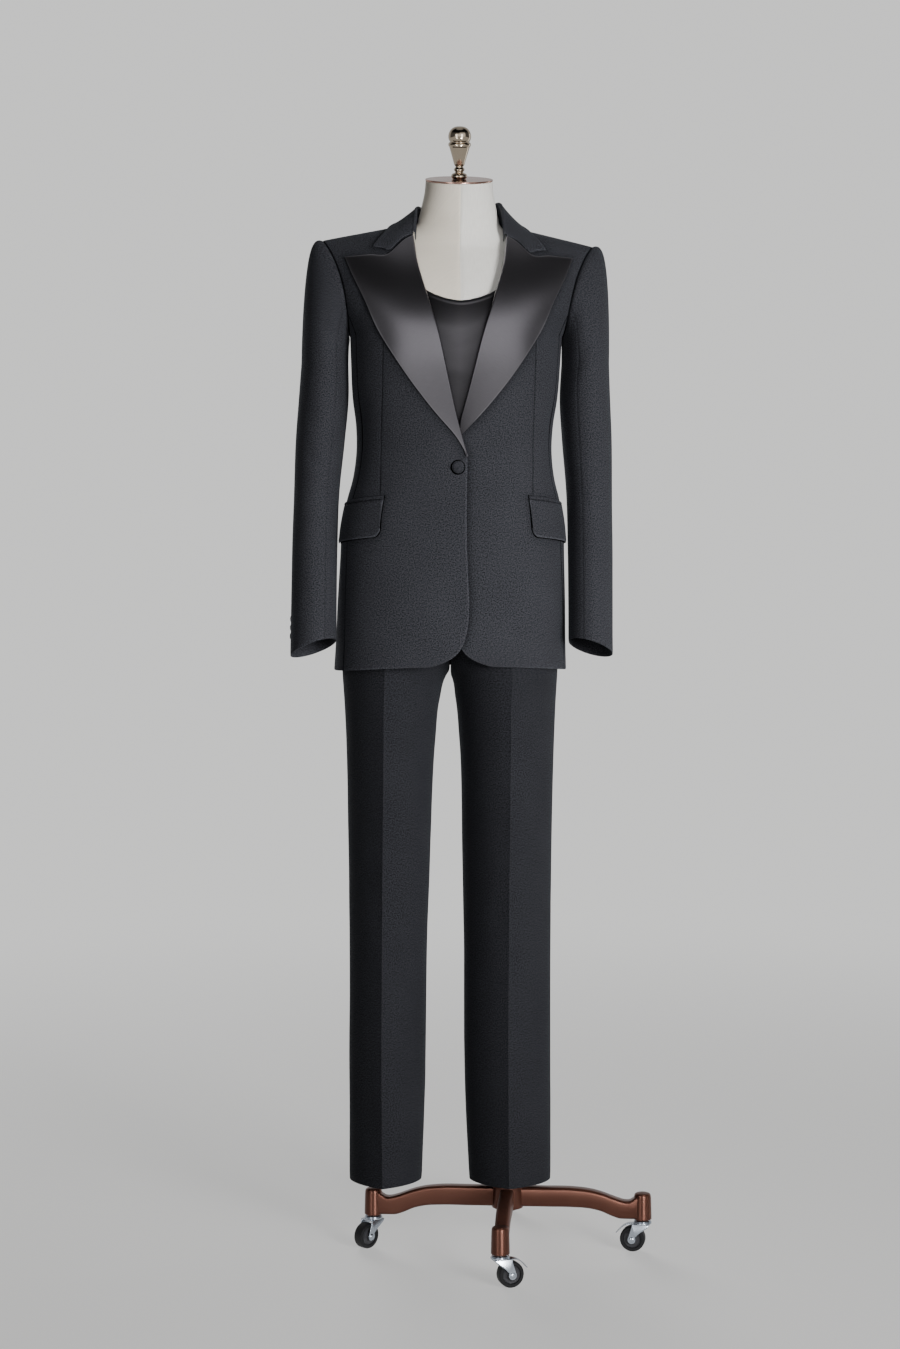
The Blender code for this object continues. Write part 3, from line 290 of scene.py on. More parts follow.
def start_group(name, inputs):
    """A node group that is given values, with their defaults, and puts out a height and a tone."""
    tree = bpy.data.node_groups.new(name, "ShaderNodeTree")
    new_socket = tree.interface.new_socket
    for label, value in inputs.items():
        new_socket(name=label, in_out="INPUT", socket_type="NodeSocketFloat").default_value = value
    for label in ("Height", "Tone"):
        new_socket(name=label, in_out="OUTPUT", socket_type="NodeSocketFloat")
    return tree, put(tree, "NodeGroupInput").outputs[0], put(tree, "NodeGroupOutput").inputs


def wave(tree, distance, pitch):
    """A ridge every `pitch` metres: half of one plus the sine of two pi times the distance over the pitch."""
    phase = more(tree, distance, 2 * math.pi / pitch, 0.0)
    return more(tree, sums(tree, "SINE", phase), 0.5, 0.5)


def cloth_place(tree):
    """The metres along and up the cloth, as a vector and as two values."""
    uv = put(tree, "UVMap", uv_map="cloth").outputs[0]
    parts = put(tree, "SeparateXYZ", {0: uv}).outputs
    return uv, parts[0], parts[1]


def stretched(tree, vector, scale):
    return put(tree, "Mapping", {"Vector": vector, "Scale": scale}).outputs[0]


def noise(tree, vector, scale, detail=2.0):
    return put(tree, "TexNoise", {"Vector": vector, "Scale": scale, "Detail": detail}).outputs[0]


def new_material(name, slot=None, **values):
    """A material, the slot that its pieces fill (not used), and the plain values of its shader."""
    material = bpy.data.materials.new(name)
    material.use_nodes = True
    shader = material.node_tree.nodes["Principled BSDF"].inputs
    for label, value in values.items():
        shader[label.replace("_", " ")].default_value = value
    return material, material.node_tree, shader


def mixed(tree, share, dark, light, blend="MIX"):
    """Two colours, plain or linked, mixed by a share."""
    mix = put(tree, "Mix", {"Factor": share}, data_type="RGBA", blend_type=blend)
    for colour, socket in ((dark, mix.inputs[6]), (light, mix.inputs[7])):
        feed(tree, (*colour[:3], 1) if isinstance(colour, (tuple, list)) else colour, socket)
    return mix.outputs[2]


def with_painted_light(tree, colour, shader):
    """Paints into a colour the light and shade that a piece keeps at its points: painted shade darkens it,
    and a painted highlight, which is kept as less than nothing, lightens it. What the surface reflects
    weakens in the same way."""
    lines = put(tree, "Attribute", attribute_name="lines").outputs["Fac"]
    value = more(tree, lines, -0.88, 1.0)
    for name in ("Specular IOR Level", "Sheen Weight"):
        feed(tree, sums(tree, "MULTIPLY", value, shader[name].default_value), shader[name])
    tinted = put(tree, "HueSaturation", {"Color": colour, "Value": value})
    feed(tree, tinted.outputs[0], shader["Base Color"])


def bump(tree, shader, height, distance, strength):
    node = put(tree, "Bump", {"Height": height, "Distance": distance, "Strength": strength})
    feed(tree, node.outputs[0], shader["Normal"])


print("node helpers ready")

# %% [markdown]
# ### Wool twill
#
# The suit is a fine worsted twill: two threads over, two under, each row stepped by one, which leaves
# slanting ribs well under a millimetre apart. An image of it would repeat and blur. Two waves do it at any
# distance: one slants for the ribs, one runs across and cuts them into threads. Noise then makes some
# threads and some larger patches lighter, which is what the eye reads as wool when the ribs are too fine to
# see. The sheen is weak and cool, as a nap that stands up a little.

# %% Twill group and the wool finishes
TWILL_PITCH = 0.0011

twill, fleck, result = start_group("twill_weave", {"Fleck": 0.5})
uv, across, up = cloth_place(twill)
ribs = wave(twill, more(twill, up, 0.6, across), TWILL_PITCH)
threads = wave(twill, more(twill, across, -0.45, up), TWILL_PITCH * 0.5)
fibres = noise(twill, uv, 1500.0)
patches = noise(twill, uv, 560.0, 3.0)
clouds = noise(twill, uv, 14.0)
height = more(twill, fibres, 0.5, more(twill, threads, 0.35, ribs))
tone = more(twill, about_half(twill, patches, 2.9, 0.0), fleck, 0.35)
tone = more(twill, clouds, 0.25, about_half(twill, fibres, fleck, tone))
feed(twill, sums(twill, "MULTIPLY", height, 0.6), result["Height"])
feed(twill, more(twill, ribs, 0.12, tone), result["Tone"])


def wool_finish(name, slot, dark, light):
    """Matt wool with a soft nap: the sheen lights the cloth where it turns away."""
    material, tree, shader = new_material(
        name, slot, Specular_IOR_Level=0.10, Sheen_Weight=0.05, Sheen_Roughness=0.45,
        Sheen_Tint=(0.75, 0.80, 0.90, 1),
    )
    weave = put(tree, "Group", {"Fleck": 1.3}, node_tree=twill).outputs
    feed(tree, more(tree, weave["Tone"], -0.15, 0.88), shader["Roughness"])
    with_painted_light(tree, mixed(tree, weave["Tone"], dark, light), shader)
    bump(tree, shader, weave["Height"], 0.00018, 0.7)
    return material


jacket_wool = wool_finish("jacket_wool", "wool", (0.010, 0.0101, 0.0118), (0.047, 0.0482, 0.0560))
# Painted shade: the trousers are the coat's cloth in a darker copy, for the light that falls off towards the
# floor.
trouser_wool = wool_finish("trouser_wool", "trouser_wool", (0.006, 0.0061, 0.0072), (0.029, 0.0298, 0.0350))
print("wool ribs are", TWILL_PITCH * 1000, "mm apart")

# %% [markdown]
# ### Satin
#
# The lapels and the top are satin: long floats of smooth thread that lie side by side, so the light slides
# over them in a soft, wide gloss, in the thread's own colour. A clear coat over black would show hard white
# lights, so the cloth is treated as nearly metallic, with a soft roughness and a faint streak across the
# floats.

# %% Satin finishes


def satin_finish(name, slot, colour, roughness, streak=0.06):
    """Dark gloss that leans on what surrounds it, streaked along the floats."""
    material, tree, shader = new_material(name, slot, Metallic=0.96)
    floats = noise(tree, stretched(tree, cloth_place(tree)[0], (90.0, 2600.0, 1.0)), 1.0)
    dark, light = (tuple(value * share for value in colour) for share in (0.85, 1.15))
    with_painted_light(tree, mixed(tree, floats, dark, light), shader)
    feed(tree, more(tree, floats, streak, roughness), shader["Roughness"])
    bump(tree, shader, floats, 0.00004, 0.5)
    return material


lapel_satin = satin_finish("lapel_satin", "satin", (0.215, 0.206, 0.226), 0.28)
# Painted shade: the top is the lapels' satin in a darker copy, for the shade it lies in under the coat.
top_satin = satin_finish("top_satin", "top_satin", (0.126, 0.121, 0.132), 0.33)
print("satin ready")

# %% [markdown]
# ### Linen, and the metals of the stand
#
# The form is covered in a plain linen: threads of uneven thickness crossing one over one. Its group is two
# waves that take turns. The metals share one group, `handled`, which gives a slow unevenness and fine
# scratches, so that cast copper, zinc plate and polished nickel differ only in their values. The copper is
# brushed round its shapes, so its grain is turned: it draws each highlight out into a tall soft band.

# %% Linen and metal groups
LINEN_PITCH = 0.0009

linen_weave, slub_share, result = start_group("linen_weave", {"Slub": 0.4})
uv, across, up = cloth_place(linen_weave)
warp, weft = (wave(linen_weave, distance, LINEN_PITCH) for distance in (across, up))
slub = noise(linen_weave, stretched(linen_weave, uv, (1.0, 0.12, 1.0)), 500.0, 3.0)
stains = noise(linen_weave, uv, 9.0, 3.0)
crossing = more(linen_weave, warp, weft, sums(linen_weave, "MULTIPLY", warp, -0.3))
feed(linen_weave, sums(linen_weave, "ADD", crossing, slub), result["Height"])
tone = about_half(linen_weave, stains, 0.35, about_half(linen_weave, slub, slub_share, 0.5))
feed(linen_weave, more(linen_weave, warp, 0.1, tone), result["Tone"])

handled, grain_scale, result = start_group("handled_metal", {"Grain": 900.0})
place = put(handled, "TexCoord").outputs["Object"]
slow = noise(handled, place, 22.0, 4.0)
fine = noise(handled, place, grain_scale)
feed(handled, fine, result["Height"])
feed(handled, more(handled, fine, 0.25, sums(handled, "MULTIPLY", slow, 0.75)), result["Tone"])


def linen_finish(name, slot, dark, light, shaded_half, seam):
    """Linen in two halves: the one behind the seam's plane, away from the key light, is painted a shade
    darker and warmer. The plane is given by the direction square to it and how far it lies from the origin."""
    material, tree, shader = new_material(name, slot, Roughness=0.92, Sheen_Weight=0.15)
    weave = put(tree, "Group", {"Slub": 0.8}, node_tree=linen_weave).outputs
    across = dot(tree, put(tree, "TexCoord").outputs["Object"], seam[:3])
    behind = ramp(tree, across, seam[3] + 0.0004, seam[3] - 0.0004, kind="LINEAR")
    colour = mixed(tree, behind, mixed(tree, weave["Tone"], dark, light), shaded_half, "MULTIPLY")
    feed(tree, colour, shader["Base Color"])
    bump(tree, shader, weave["Height"], 0.00012, 0.6)
    return material


def metal_finish(name, slot, dark, light, smoothest, roughest, grain=900.0, turned_grain=0.0, **values):
    """A metal or moulded surface whose tone and gloss wander a little, with a fine grain in its bump. A
    turned grain runs round a shape, along the first axis of its UV map, and draws highlights out across
    itself."""
    values = {"Metallic": 1.0, "Anisotropic": turned_grain, "Anisotropic_Rotation": 0.25, **values}
    material, tree, shader = new_material(name, slot, **values)
    if turned_grain:
        around = put(tree, "Tangent", direction_type="UV_MAP", uv_map="cloth")
        feed(tree, around.outputs[0], shader["Tangent"])
    surface = put(tree, "Group", {"Grain": grain}, node_tree=handled).outputs
    feed(tree, mixed(tree, surface["Tone"], dark, light), shader["Base Color"])
    feed(tree, more(tree, surface["Tone"], roughest - smoothest, smoothest), shader["Roughness"])
    bump(tree, shader, surface["Height"], 0.00003, 0.5)
    return material


copper = metal_finish(
    "copper", "copper", (0.096, 0.036, 0.024), (0.138, 0.060, 0.042), 0.32, 0.38, 1400.0, 0.8, Metallic=0.78
)
polished = metal_finish("polished_nickel", "gilt", (0.40, 0.33, 0.25), (0.54, 0.46, 0.36), 0.06, 0.14)
rose = metal_finish("rose_metal", "rose_metal", (0.36, 0.20, 0.16), (0.50, 0.32, 0.26), 0.12, 0.24)
zinc = metal_finish("zinc_plate", "zinc", (0.38, 0.42, 0.48), (0.60, 0.65, 0.72), 0.18, 0.30, 1600.0)
# Black for painted shadows: the hair line round each pocket and the ring under the front button.
shadow_black = metal_finish(
    "shadow_black", "wool", (0.001, 0.001, 0.001), (0.003, 0.003, 0.003), 0.9, 1.0, Metallic=0.0,
    Specular_IOR_Level=0.0,
)
tyre = metal_finish(
    "tyre", "black_rubber", (0.005, 0.005, 0.006), (0.014, 0.014, 0.015), 0.50, 0.70, 700.0, Metallic=0.0
)
hub_grey = metal_finish(
    "hub_grey", "black_rubber", (0.022, 0.022, 0.025), (0.05, 0.05, 0.055), 0.35, 0.50, 700.0, Metallic=0.0
)
print(len(bpy.data.materials), "materials")

# %% [markdown]
# ## The coat's skin
#
# A cutter thinks of a coat as one skin round the body that is then divided into panels. Here a point of the
# skin is named by a girth angle (0 at the middle of the front, a quarter turn at the side) and a level: the
# height up to the underarm, then a share of the way up to the shoulder seam, where front and back close on
# each other. The whole stands on the form a little turned and leaning, and its skirt is turned a little
# further.

# %% The skin's measures
FORM_TURN = math.radians(3.0)
SKIRT_TURN = math.radians(7.5)
SKIRT_TURN_FROM = 1.12
FORM_LEAN = 0.0187
HEM_Z = 0.8805
HEM_FRONT_Z = 0.8895
UNDERARM_Z = 1.385
SHOULDER_Z = 1.571
SHOULDER_TIP = (0.205, 1.527)
SHOULDER_SLOPE = 0.214
SHOULDER_ROLL = 0.016
GIRTH_POWER = 2.3
CHEST_ROUND = 1.5
BACK_ROUND = 2.0
REACH_FRONT = 0.50
REACH_BACK = 0.60
ARMHOLE_BEND = 0.5
UNDERARM_X = 0.1615
SIDE_SEAM_RISE = 0.195
SEAM = 0.0002
SEAM_ANGLE = SEAM / 0.3

COAT = table("height half_width front back", """
    870 176.6 128.5 134
    925 174.2 127 139
    985 172.5 125 141
    1046 170 123 138
    1100 167.2 120 128
    1137 161 117 118
    1168 153 115 109
    1213 147.8 114 102
    1250 149.3 118 102
    1290 155 125 107
    1350 159 131 115
    1400 161.5 129 119
""")


def shoulder_height(x):
    """The shoulder seam's height above a place across the body: a straight slope, one side a little lower."""
    return SHOULDER_TIP[1] + (SHOULDER_TIP[0] - abs(x)) * SHOULDER_SLOPE - SHOULDER_ROLL * x


def armhole_x(rise):
    """How far out the armhole lies: a line and a cube of its share of the way up."""
    return between(UNDERARM_X, SHOULDER_TIP[0], 0.45 * rise + 0.55 * rise**3)


def armhole_reach(rise, most):
    """How far the armhole goes forward or back: the root of a sine, full above its lower half."""
    return most * np.sqrt(np.sin(np.clip(rise / ARMHOLE_BEND, 0, 1) * math.pi / 2))


def armhole_angle(rise, most):
    return np.arccos(armhole_reach(rise, most) ** (GIRTH_POWER / 2))


def armhole_rise(angle, most):
    """The other way round: how far up the armhole's lower end is at this angle."""
    reach = np.cos(angle) ** (2 / GIRTH_POWER) / most
    return ARMHOLE_BEND * np.arcsin(np.clip(reach, 0, 1) ** 2) * 2 / math.pi


def coat_rise(level):
    return share_of(level, UNDERARM_Z, SHOULDER_Z)


def coat_height(x, level):
    """The height of the skin's point at this level: above the underarm, a share of the way to the
    shoulder."""
    rise = coat_rise(level)
    return np.where(rise > 0, between(UNDERARM_Z, shoulder_height(x), rise), level)


def coat_level(x, z):
    """The level of the skin's point over this place and height."""
    rise = (z - UNDERARM_Z) / (shoulder_height(x) - UNDERARM_Z)
    return np.where(z < UNDERARM_Z, z, between(UNDERARM_Z, SHOULDER_Z, rise))


def coat_half_width(level, most):
    rise = coat_rise(level)
    below = flow(COAT, "half_width", np.minimum(level, UNDERARM_Z))
    above = armhole_x(rise) / (1 - armhole_reach(rise, most) ** GIRTH_POWER) ** (1 / GIRTH_POWER)
    return np.where(rise > 0, above, below)


def coat_angle(x, level, most=REACH_FRONT):
    """The girth angle at this distance from the middle: the arcsine of its share of the half width."""
    share = np.clip(abs(x) / coat_half_width(level, most), 0, 1)
    return np.sign(x) * np.arcsin(share ** (GIRTH_POWER / 2))


def powered(value, power):
    """A power that keeps the value's sign."""
    return np.sign(value) * abs(value) ** power


def coat_skin(angle, level):
    """Points of the outer skin. A section is a squared oval: half width times the sine and depth times the
    cosine, both to the power 2 over 2.3. Above the underarm the depth closes to nothing at the shoulder."""
    rise = coat_rise(level)
    low = np.minimum(level, UNDERARM_Z)
    ahead = np.cos(angle) >= 0
    front = flow(COAT, "front", low) * (1 - rise**CHEST_ROUND) ** (1 / CHEST_ROUND)
    back = flow(COAT, "back", low) * (1 - rise**BACK_ROUND) ** (1 / BACK_ROUND)
    wide = np.where(ahead, coat_half_width(level, REACH_FRONT), coat_half_width(level, REACH_BACK))
    x = wide * powered(np.sin(angle), 2 / GIRTH_POWER)
    y = np.where(ahead, -front, back) * abs(np.cos(angle)) ** (2 / GIRTH_POWER)
    return xyz(x, y, coat_height(x, level))


def lifted(skin, angle, level, out, step=0.002):
    """The skin's points moved out along its normal, which is worked out from four neighbours."""
    round_ = skin(angle + step, level) - skin(angle - step, level)
    up = skin(angle, level + step / 4) - skin(angle, level - step / 4)
    normal = np.cross(round_, up)
    normal /= np.linalg.norm(normal, axis=-1, keepdims=True)
    return skin(angle, level) + normal * np.broadcast_to(out, np.shape(level))[..., None]


def turned_about(points, turn, place=(0.0, 0.0, 0.0)):
    """Turns points about the upright axis, then moves them."""
    x, y, z = np.moveaxis(points, -1, 0)
    across, behind = x * np.cos(turn) - y * np.sin(turn), x * np.sin(turn) + y * np.cos(turn)
    return xyz(across, behind, z) + np.array(place)


def on_form(points, turn=FORM_TURN):
    """Body's frame to the stand's: turned about the upright axis, then leant in proportion to the height."""
    points = turned_about(points, turn)
    points[..., 0] += FORM_LEAN * np.maximum(points[..., 2] - HEM_Z, 0)
    return points


def coat(angle, level, out=0.0):
    """A point of the coat where it stands, out from its skin. The skirt is turned further towards the hem."""
    points = lifted(coat_skin, angle, level, out)
    return on_form(points, between(SKIRT_TURN, FORM_TURN, smooth(HEM_Z, SKIRT_TURN_FROM, points[..., 2])))


waist, shoulders = COAT["half_width"].min() * 2000, SHOULDER_TIP[0] * 2000
print(f"the coat is {waist:.0f} mm wide at the waist and {shoulders:.0f} mm over the shoulders")

# %% [markdown]
# ## Seams and creases
#
# Cloth is never quite smooth. Where two panels are sewn, both edges dip into the seam, and the shade in a
# pressed seam is painted as a thin dark line. A folded edge gets a painted highlight, and an edge that lies
# on the cloth a painted shadow beside it. Where the body bends, the cloth drags into soft folds, no two
# alike. Painted bump would do from far away, but the outline and the light would stay those of a smooth
# tube, so both are real relief here: `dip` for seams and `creased` for folds, each a bell curve of the
# distance to a line.

# %% Seams, creases and close columns
laid = {}


def dip(distance, depth=0.0006, reach=0.0016):
    """A valley at a seam."""
    return bell(distance, -depth, reach)


def turned_in(distance):
    """The lesser valley at a hem or a turned edge."""
    return dip(distance, 0.0003, 0.0012)


def seam_shade(*distances, reach=0.0012):
    """Painted shade in a seam: 1 on the nearest of several seams, and nothing a millimetre or two away."""
    return np.max([bell(distance, 1, reach) for distance in distances], axis=0)


def edge_highlight(distance, depth=0.45):
    """A painted highlight a millimetre inside a folded edge, where it would catch the light."""
    return bell(distance, -depth, 0.0010, 0.0009)


def near(points, line):
    """The distance from each point to the nearest of a line's points, which are doubled twice to lie
    close."""
    for _ in range(2):
        halves = (line[1:] + line[:-1]) / 2
        line = np.concatenate([np.stack([line[:-1], halves], axis=1).reshape(-1, 3), line[-1:]])
    nearest = np.full(points.shape[:2], 9.0)
    for place in line:
        nearest = np.minimum(nearest, ((points - place) ** 2).sum(axis=-1))
    return np.sqrt(nearest)


def shaded(distance, reach=0.0050, most=0.85):
    """The shade that an edge lying on the cloth throws beside itself."""
    return most * np.exp(-distance / reach)


def shade(name, line, *how):
    """Shades a piece that is laid already, beside a line that comes to lie on it."""
    thing, points = laid[name]
    paint_light_and_shade(thing, shaded(near(points, line), *how))


def creased(across, along, rows):
    """Soft troughs and ridges. Each row is a line between two places, a depth (in if negative) and a width;
    the relief is a bell curve of the distance to the line that fades out towards both of its ends."""
    relief = np.zeros(np.shape(across))
    for x, z, to_x, to_z, depth, width in zip(*rows.values()):
        length = math.hypot(to_x - x, to_z - z)
        share = ((across - x) * (to_x - x) + (along - z) * (to_z - z)) / length**2
        aside = ((across - x) * (to_z - z) - (along - z) * (to_x - x)) / length
        bend = 0.25 * length * (share - 0.5) ** 2
        fade = smooth(-0.25, 0.35, share) * (1 - smooth(0.65, 1.25, share))
        relief += bell(aside - bend, depth, width) * fade
    return relief


def settled(points, seed, size=0.0003):
    """A slow unevenness, as of cloth that hangs free: sines of several lengths added along three
    directions."""
    rng = np.random.default_rng(seed)
    relief = np.zeros(points.shape[:2])
    for wavelength in (0.05, 0.09, 0.16, 0.28):
        direction = rng.normal(size=3) * (1, 1, 0.45)
        direction /= np.linalg.norm(direction)
        phase = points @ direction * 2 * math.pi / wavelength + rng.uniform(0, 2 * math.pi)
        relief += np.sin(phase) * wavelength / 0.28
    return relief * size


def ruled(count, *lines, reach=0.02):
    """Columns or rows from 0 to 1: even ones, and closer ones on both sides of each line that a seam
    follows."""
    close = np.array([0, 0.06, 0.15, 0.3, 0.55, 1.0]) * reach
    values = [np.linspace(0, 1, count), *(line + hand * close for line in lines for hand in (-1, 1))]
    return np.unique(np.clip(np.concatenate(values), 0, 1).round(5))


def joined(*parts):
    """Columns or rows in stretches: each a start, an end and a count, or the values themselves."""
    parts = [np.linspace(*part) if isinstance(part, tuple) else part for part in parts]
    return np.unique(np.concatenate(parts))


def from_half(points, u):
    """How far each point lies from the column that follows the half of a row."""
    walk, middle = walked(points, 1), np.argmin(abs(u[0] - 0.5))
    return abs(walk - walk[:, middle : middle + 1])


def cloth(name, points, relief, material, node, *lines, held="hung", rests_on=("form",), wall=WOOL):
    """A sheet of cloth: a grid with its relief, made a piece, with its painted light and shade."""
    thing = piece(name, relieved(points, relief), material, node, wall)
    laid[name] = thing, points
    if lines:
        paint_light_and_shade(thing, *lines)


print("a seam is", -dip(0.0) * 1000, "mm deep")

# %% [markdown]
# ## Fronts, sides and backs
#
# Each half of the coat is a front, a side panel under the arm and a back. The front has a dart from under the
# lapel down to the pocket, which takes in the waist; its column of points follows the dart's line, with close
# neighbours, so the sewn line is sharp without a fine grid all over. The wearer's right front laps over the
# left one, so near the middle one is eased outwards and the other inwards.

# %% The body of the coat
LAP = 0.014
LAP_LIFT = 0.0012
# The lap is eased out fully up to here from the middle, and not at all from there on.
LAP_FADE = (0.016, 0.070)
BREAK_Z = 1.197
CORNER_HEIGHT = 0.07
LOW_ROWS, CHEST_ROWS = 0.2, 0.6
ALMOST_UP = 0.9997
DART_X = 0.114
DART = (1.137, 1.405)  # its lower and its upper end
NECK_X = 0.073
BACK_NECK_DROP = 0.20

ROLL = table("height from_middle", """
    1197 -14
    1250 2
    1320 19.5
    1385 34.8
    1445 53.2
    1490 65.5
    1530 70
    1580 72
""")


def coat_levels(v, hem):
    """Rows from the hem to the shoulder: close at the hem's corner, close again over the shoulder."""
    corner = hem + CORNER_HEIGHT * (v / LOW_ROWS) ** 2
    middle = between(hem + CORNER_HEIGHT, UNDERARM_Z, (v - LOW_ROWS) / (CHEST_ROWS - LOW_ROWS))
    over = np.sin((v - CHEST_ROWS) / (1 - CHEST_ROWS) * math.pi / 2)
    upper = between(UNDERARM_Z, SHOULDER_Z, over * ALMOST_UP)
    return np.where(v < LOW_ROWS, corner, np.where(v < CHEST_ROWS, middle, upper))


def hem_level(angle):
    """The hem is a little higher in front."""
    return between(HEM_Z, HEM_FRONT_Z, np.clip(np.cos(angle), 0, 1) ** 2)


def edge_x(level):
    """Where the front's edge lies: below the break straight, cut away in a curve at the hem; above it the
    roll line, found by a few rounds because its height follows the tilt of the rows."""
    above_hem = np.maximum(level - HEM_FRONT_Z, 0)
    setback = 0.040 * np.exp(-above_hem / 0.011) + 0.020 * np.clip(1 - above_hem / 0.1, 0, 1) ** 2
    x = np.full(np.shape(level), 0.05)
    for _ in range(6):
        x = flow(ROLL, "from_middle", coat_height(x, level))
    return np.where(level < BREAK_Z, -LAP + setback, x)


def outer_angle(level, most):
    """A front's or back's outer edge: the seam with the side panel, then the armhole."""
    return armhole_angle(np.maximum(coat_rise(level), SIDE_SEAM_RISE), most) - SEAM_ANGLE


def lap_lift(x, side):
    """The right front lies on the left one where they overlap, so one is eased out and the other in."""
    return -side * LAP_LIFT * (1 - smooth(*LAP_FADE, abs(x)))


def coat_front(side, u, v):
    """A front from its side seam (0) over the dart (a half) to its edge (1), and from the hem to the
    shoulder."""
    to_edge = u if side < 0 else 1 - u
    level = coat_levels(v, HEM_FRONT_Z)
    outer = side * outer_angle(level, REACH_FRONT)
    inner = coat_angle(side * edge_x(level), level)
    dart = (coat_angle(side * DART_X, level) - outer) / (inner - outer)
    share = np.where(to_edge < 0.5, dart * to_edge * 2, between(dart, 1, to_edge * 2 - 1))
    angle = between(outer, inner, share)
    level = coat_levels(v, hem_level(angle))
    return coat(angle, level, lap_lift(coat_skin(angle, level)[..., 0], side))


def coat_side(side, u, v):
    """A side panel from its seam with the front round to its seam with the back, up to the armhole. Its last
    rows are squeezed together under the armhole's curve."""
    start = armhole_angle(SIDE_SEAM_RISE, REACH_FRONT) + SEAM_ANGLE
    end = math.pi - armhole_angle(SIDE_SEAM_RISE, REACH_BACK) - SEAM_ANGLE
    angle = between(start, end, u if side > 0 else 1 - u)
    front_rise = armhole_rise(np.minimum(angle, math.pi / 2), REACH_FRONT)
    back_rise = armhole_rise(math.pi - np.maximum(angle, math.pi / 2), REACH_BACK)
    top = np.maximum(front_rise, back_rise) / SIDE_SEAM_RISE
    level = coat_levels(v * 0.65, hem_level(angle))
    last, corner = coat_levels(np.array([0.55, 0.65]), HEM_Z)
    squeezed = (between(UNDERARM_Z, corner, top) - last) / (corner - last)
    return coat(side * angle, np.minimum(level, last) + np.maximum(level - last, 0) * squeezed)


def coat_back(side, u, v):
    """A back from the middle seam out to the side panel and armhole, up to the shoulder seam and the neck."""
    share = np.maximum(u if side < 0 else 1 - u, 0.0002)
    at_top = share * outer_angle(np.full(np.shape(v), SHOULDER_Z), REACH_BACK)
    x = coat_half_width(np.float64(SHOULDER_Z), REACH_BACK) * np.sin(at_top) ** (2 / GIRTH_POWER)
    top = 1 - BACK_NECK_DROP * np.clip(1 - (x / NECK_X) ** 2, 0, 1)
    level = coat_levels(v, HEM_Z)
    level = np.minimum(level, UNDERARM_Z) + np.maximum(level - UNDERARM_Z, 0) * top
    return coat(side * (math.pi - share * outer_angle(level, REACH_BACK)), level)


# Soft folds: across the body and up, in the body's own frame.
FOLD_COLUMNS = "x z to_x to_z depth width"
FRONT_CREASES = table(FOLD_COLUMNS, """
    30 1190 128 1222 -0.7 11
    45 1168 135 1160 -0.6 13
    130 1330 150 1210 -0.8 12
    152 1400 120 1475 -0.9 10
    135 1060 150 930 0.8 20
    85 1050 78 910 -0.6 26
""")
BACK_CREASES = table(FOLD_COLUMNS, """
    20 1215 120 1235 -1.1 12
    15 1190 110 1180 0.9 14
    30 1160 125 1150 -0.8 13
    120 1400 150 1290 -1.2 13
    60 1470 65 1330 0.8 22
    70 1060 75 900 -1 26
    125 1050 135 900 1 24
""")
side_names = {"right": -1, "left": 1}
coat_rows = joined((0, LOW_ROWS, 26), (LOW_ROWS, CHEST_ROWS, 96), (CHEST_ROWS, 1, 56))


def body_frame(points, side):
    """Distance from the middle and height of placed points, near enough to lay creases on."""
    across = points[..., 0] - FORM_LEAN * np.maximum(points[..., 2] - HEM_Z, 0)
    return side * (across * math.cos(FORM_TURN) + points[..., 1] * math.sin(FORM_TURN)), points[..., 2]


for name, side in side_names.items():
    u, v = np.meshgrid(ruled(92, 0, 0.5, 1), coat_rows)
    points = coat_front(side, u, v)
    first, last, low, high = edges(points)
    to_side, to_edge = (first, last) if side < 0 else (last, first)
    from_dart = from_half(points, u)
    x, z = body_frame(points, side)
    dart = smooth(DART[0] - 0.004, DART[0], z) * (1 - smooth(DART[1] - 0.01, DART[1], z))
    relief = dip(to_side) + dip(high, 0.0004) + turned_in(to_edge) + turned_in(low)
    relief += dart * (dip(from_dart, 0.0008, 0.0009) - 0.0006 * np.exp(-from_dart / 0.012))
    relief += creased(x, z, FRONT_CREASES) + settled(points, 3 + side, 0.00022)
    cloth(
        f"{name}_front", points, relief, jacket_wool, f"coat_front_{name}", seam_shade(to_side, high),
        0.6 * dart * seam_shade(from_dart), edge_highlight(np.minimum(to_edge, low), 0.5), held=None,
    )

    u, v = np.meshgrid(ruled(26, 0, 1, reach=0.04), coat_rows)
    points = coat_side(side, u, v)
    first, last, low, high = edges(points)
    relief = dip(first) + dip(last) + dip(high) + turned_in(low) + settled(points, 7 + side)
    cloth(
        f"{name}_side_panel", points, relief, jacket_wool, f"coat_side_{name}", seam_shade(first, last, high),
        rests_on=[f"{name}_front"],
    )

    u, v = np.meshgrid(ruled(44, 0, 1), coat_rows)
    points = coat_back(side, u, v)
    first, last, low, high = edges(points)
    relief = dip(first) + dip(last) + dip(high, 0.0004) + turned_in(low)
    relief += creased(*body_frame(points, side), BACK_CREASES) + settled(points, 11 + side)
    cloth(f"{name}_back", points, relief, jacket_wool, f"coat_back_{name}", 0.45 * seam_shade(first, last, high))

# %% [markdown]
# ## Peak lapels
#
# A lapel is the front's own facing, turned back over the roll line, so its inner edge is a soft fold and
# not a cut. Each line of the grid starts inside the coat, goes round the front's edge in a half circle and
# then runs out over the chest to the lapel's edge. The top line dips into the notch and rises to the tip of
# the peak.

# %% Lapels
LAPEL_LIFT = 0.0016
LAPEL_ROLL = 0.0024
LAPEL_TOP_Z = 1.5300
LAPEL_GAP = 0.0008
FACING = 0.012
FACING_LIFT = -0.0024
FACING_SHARE = 0.08
TURN_SHARE = 0.2
LEFT_LAPEL_FROM = 0.108
LAPEL_TURN = 0.0016

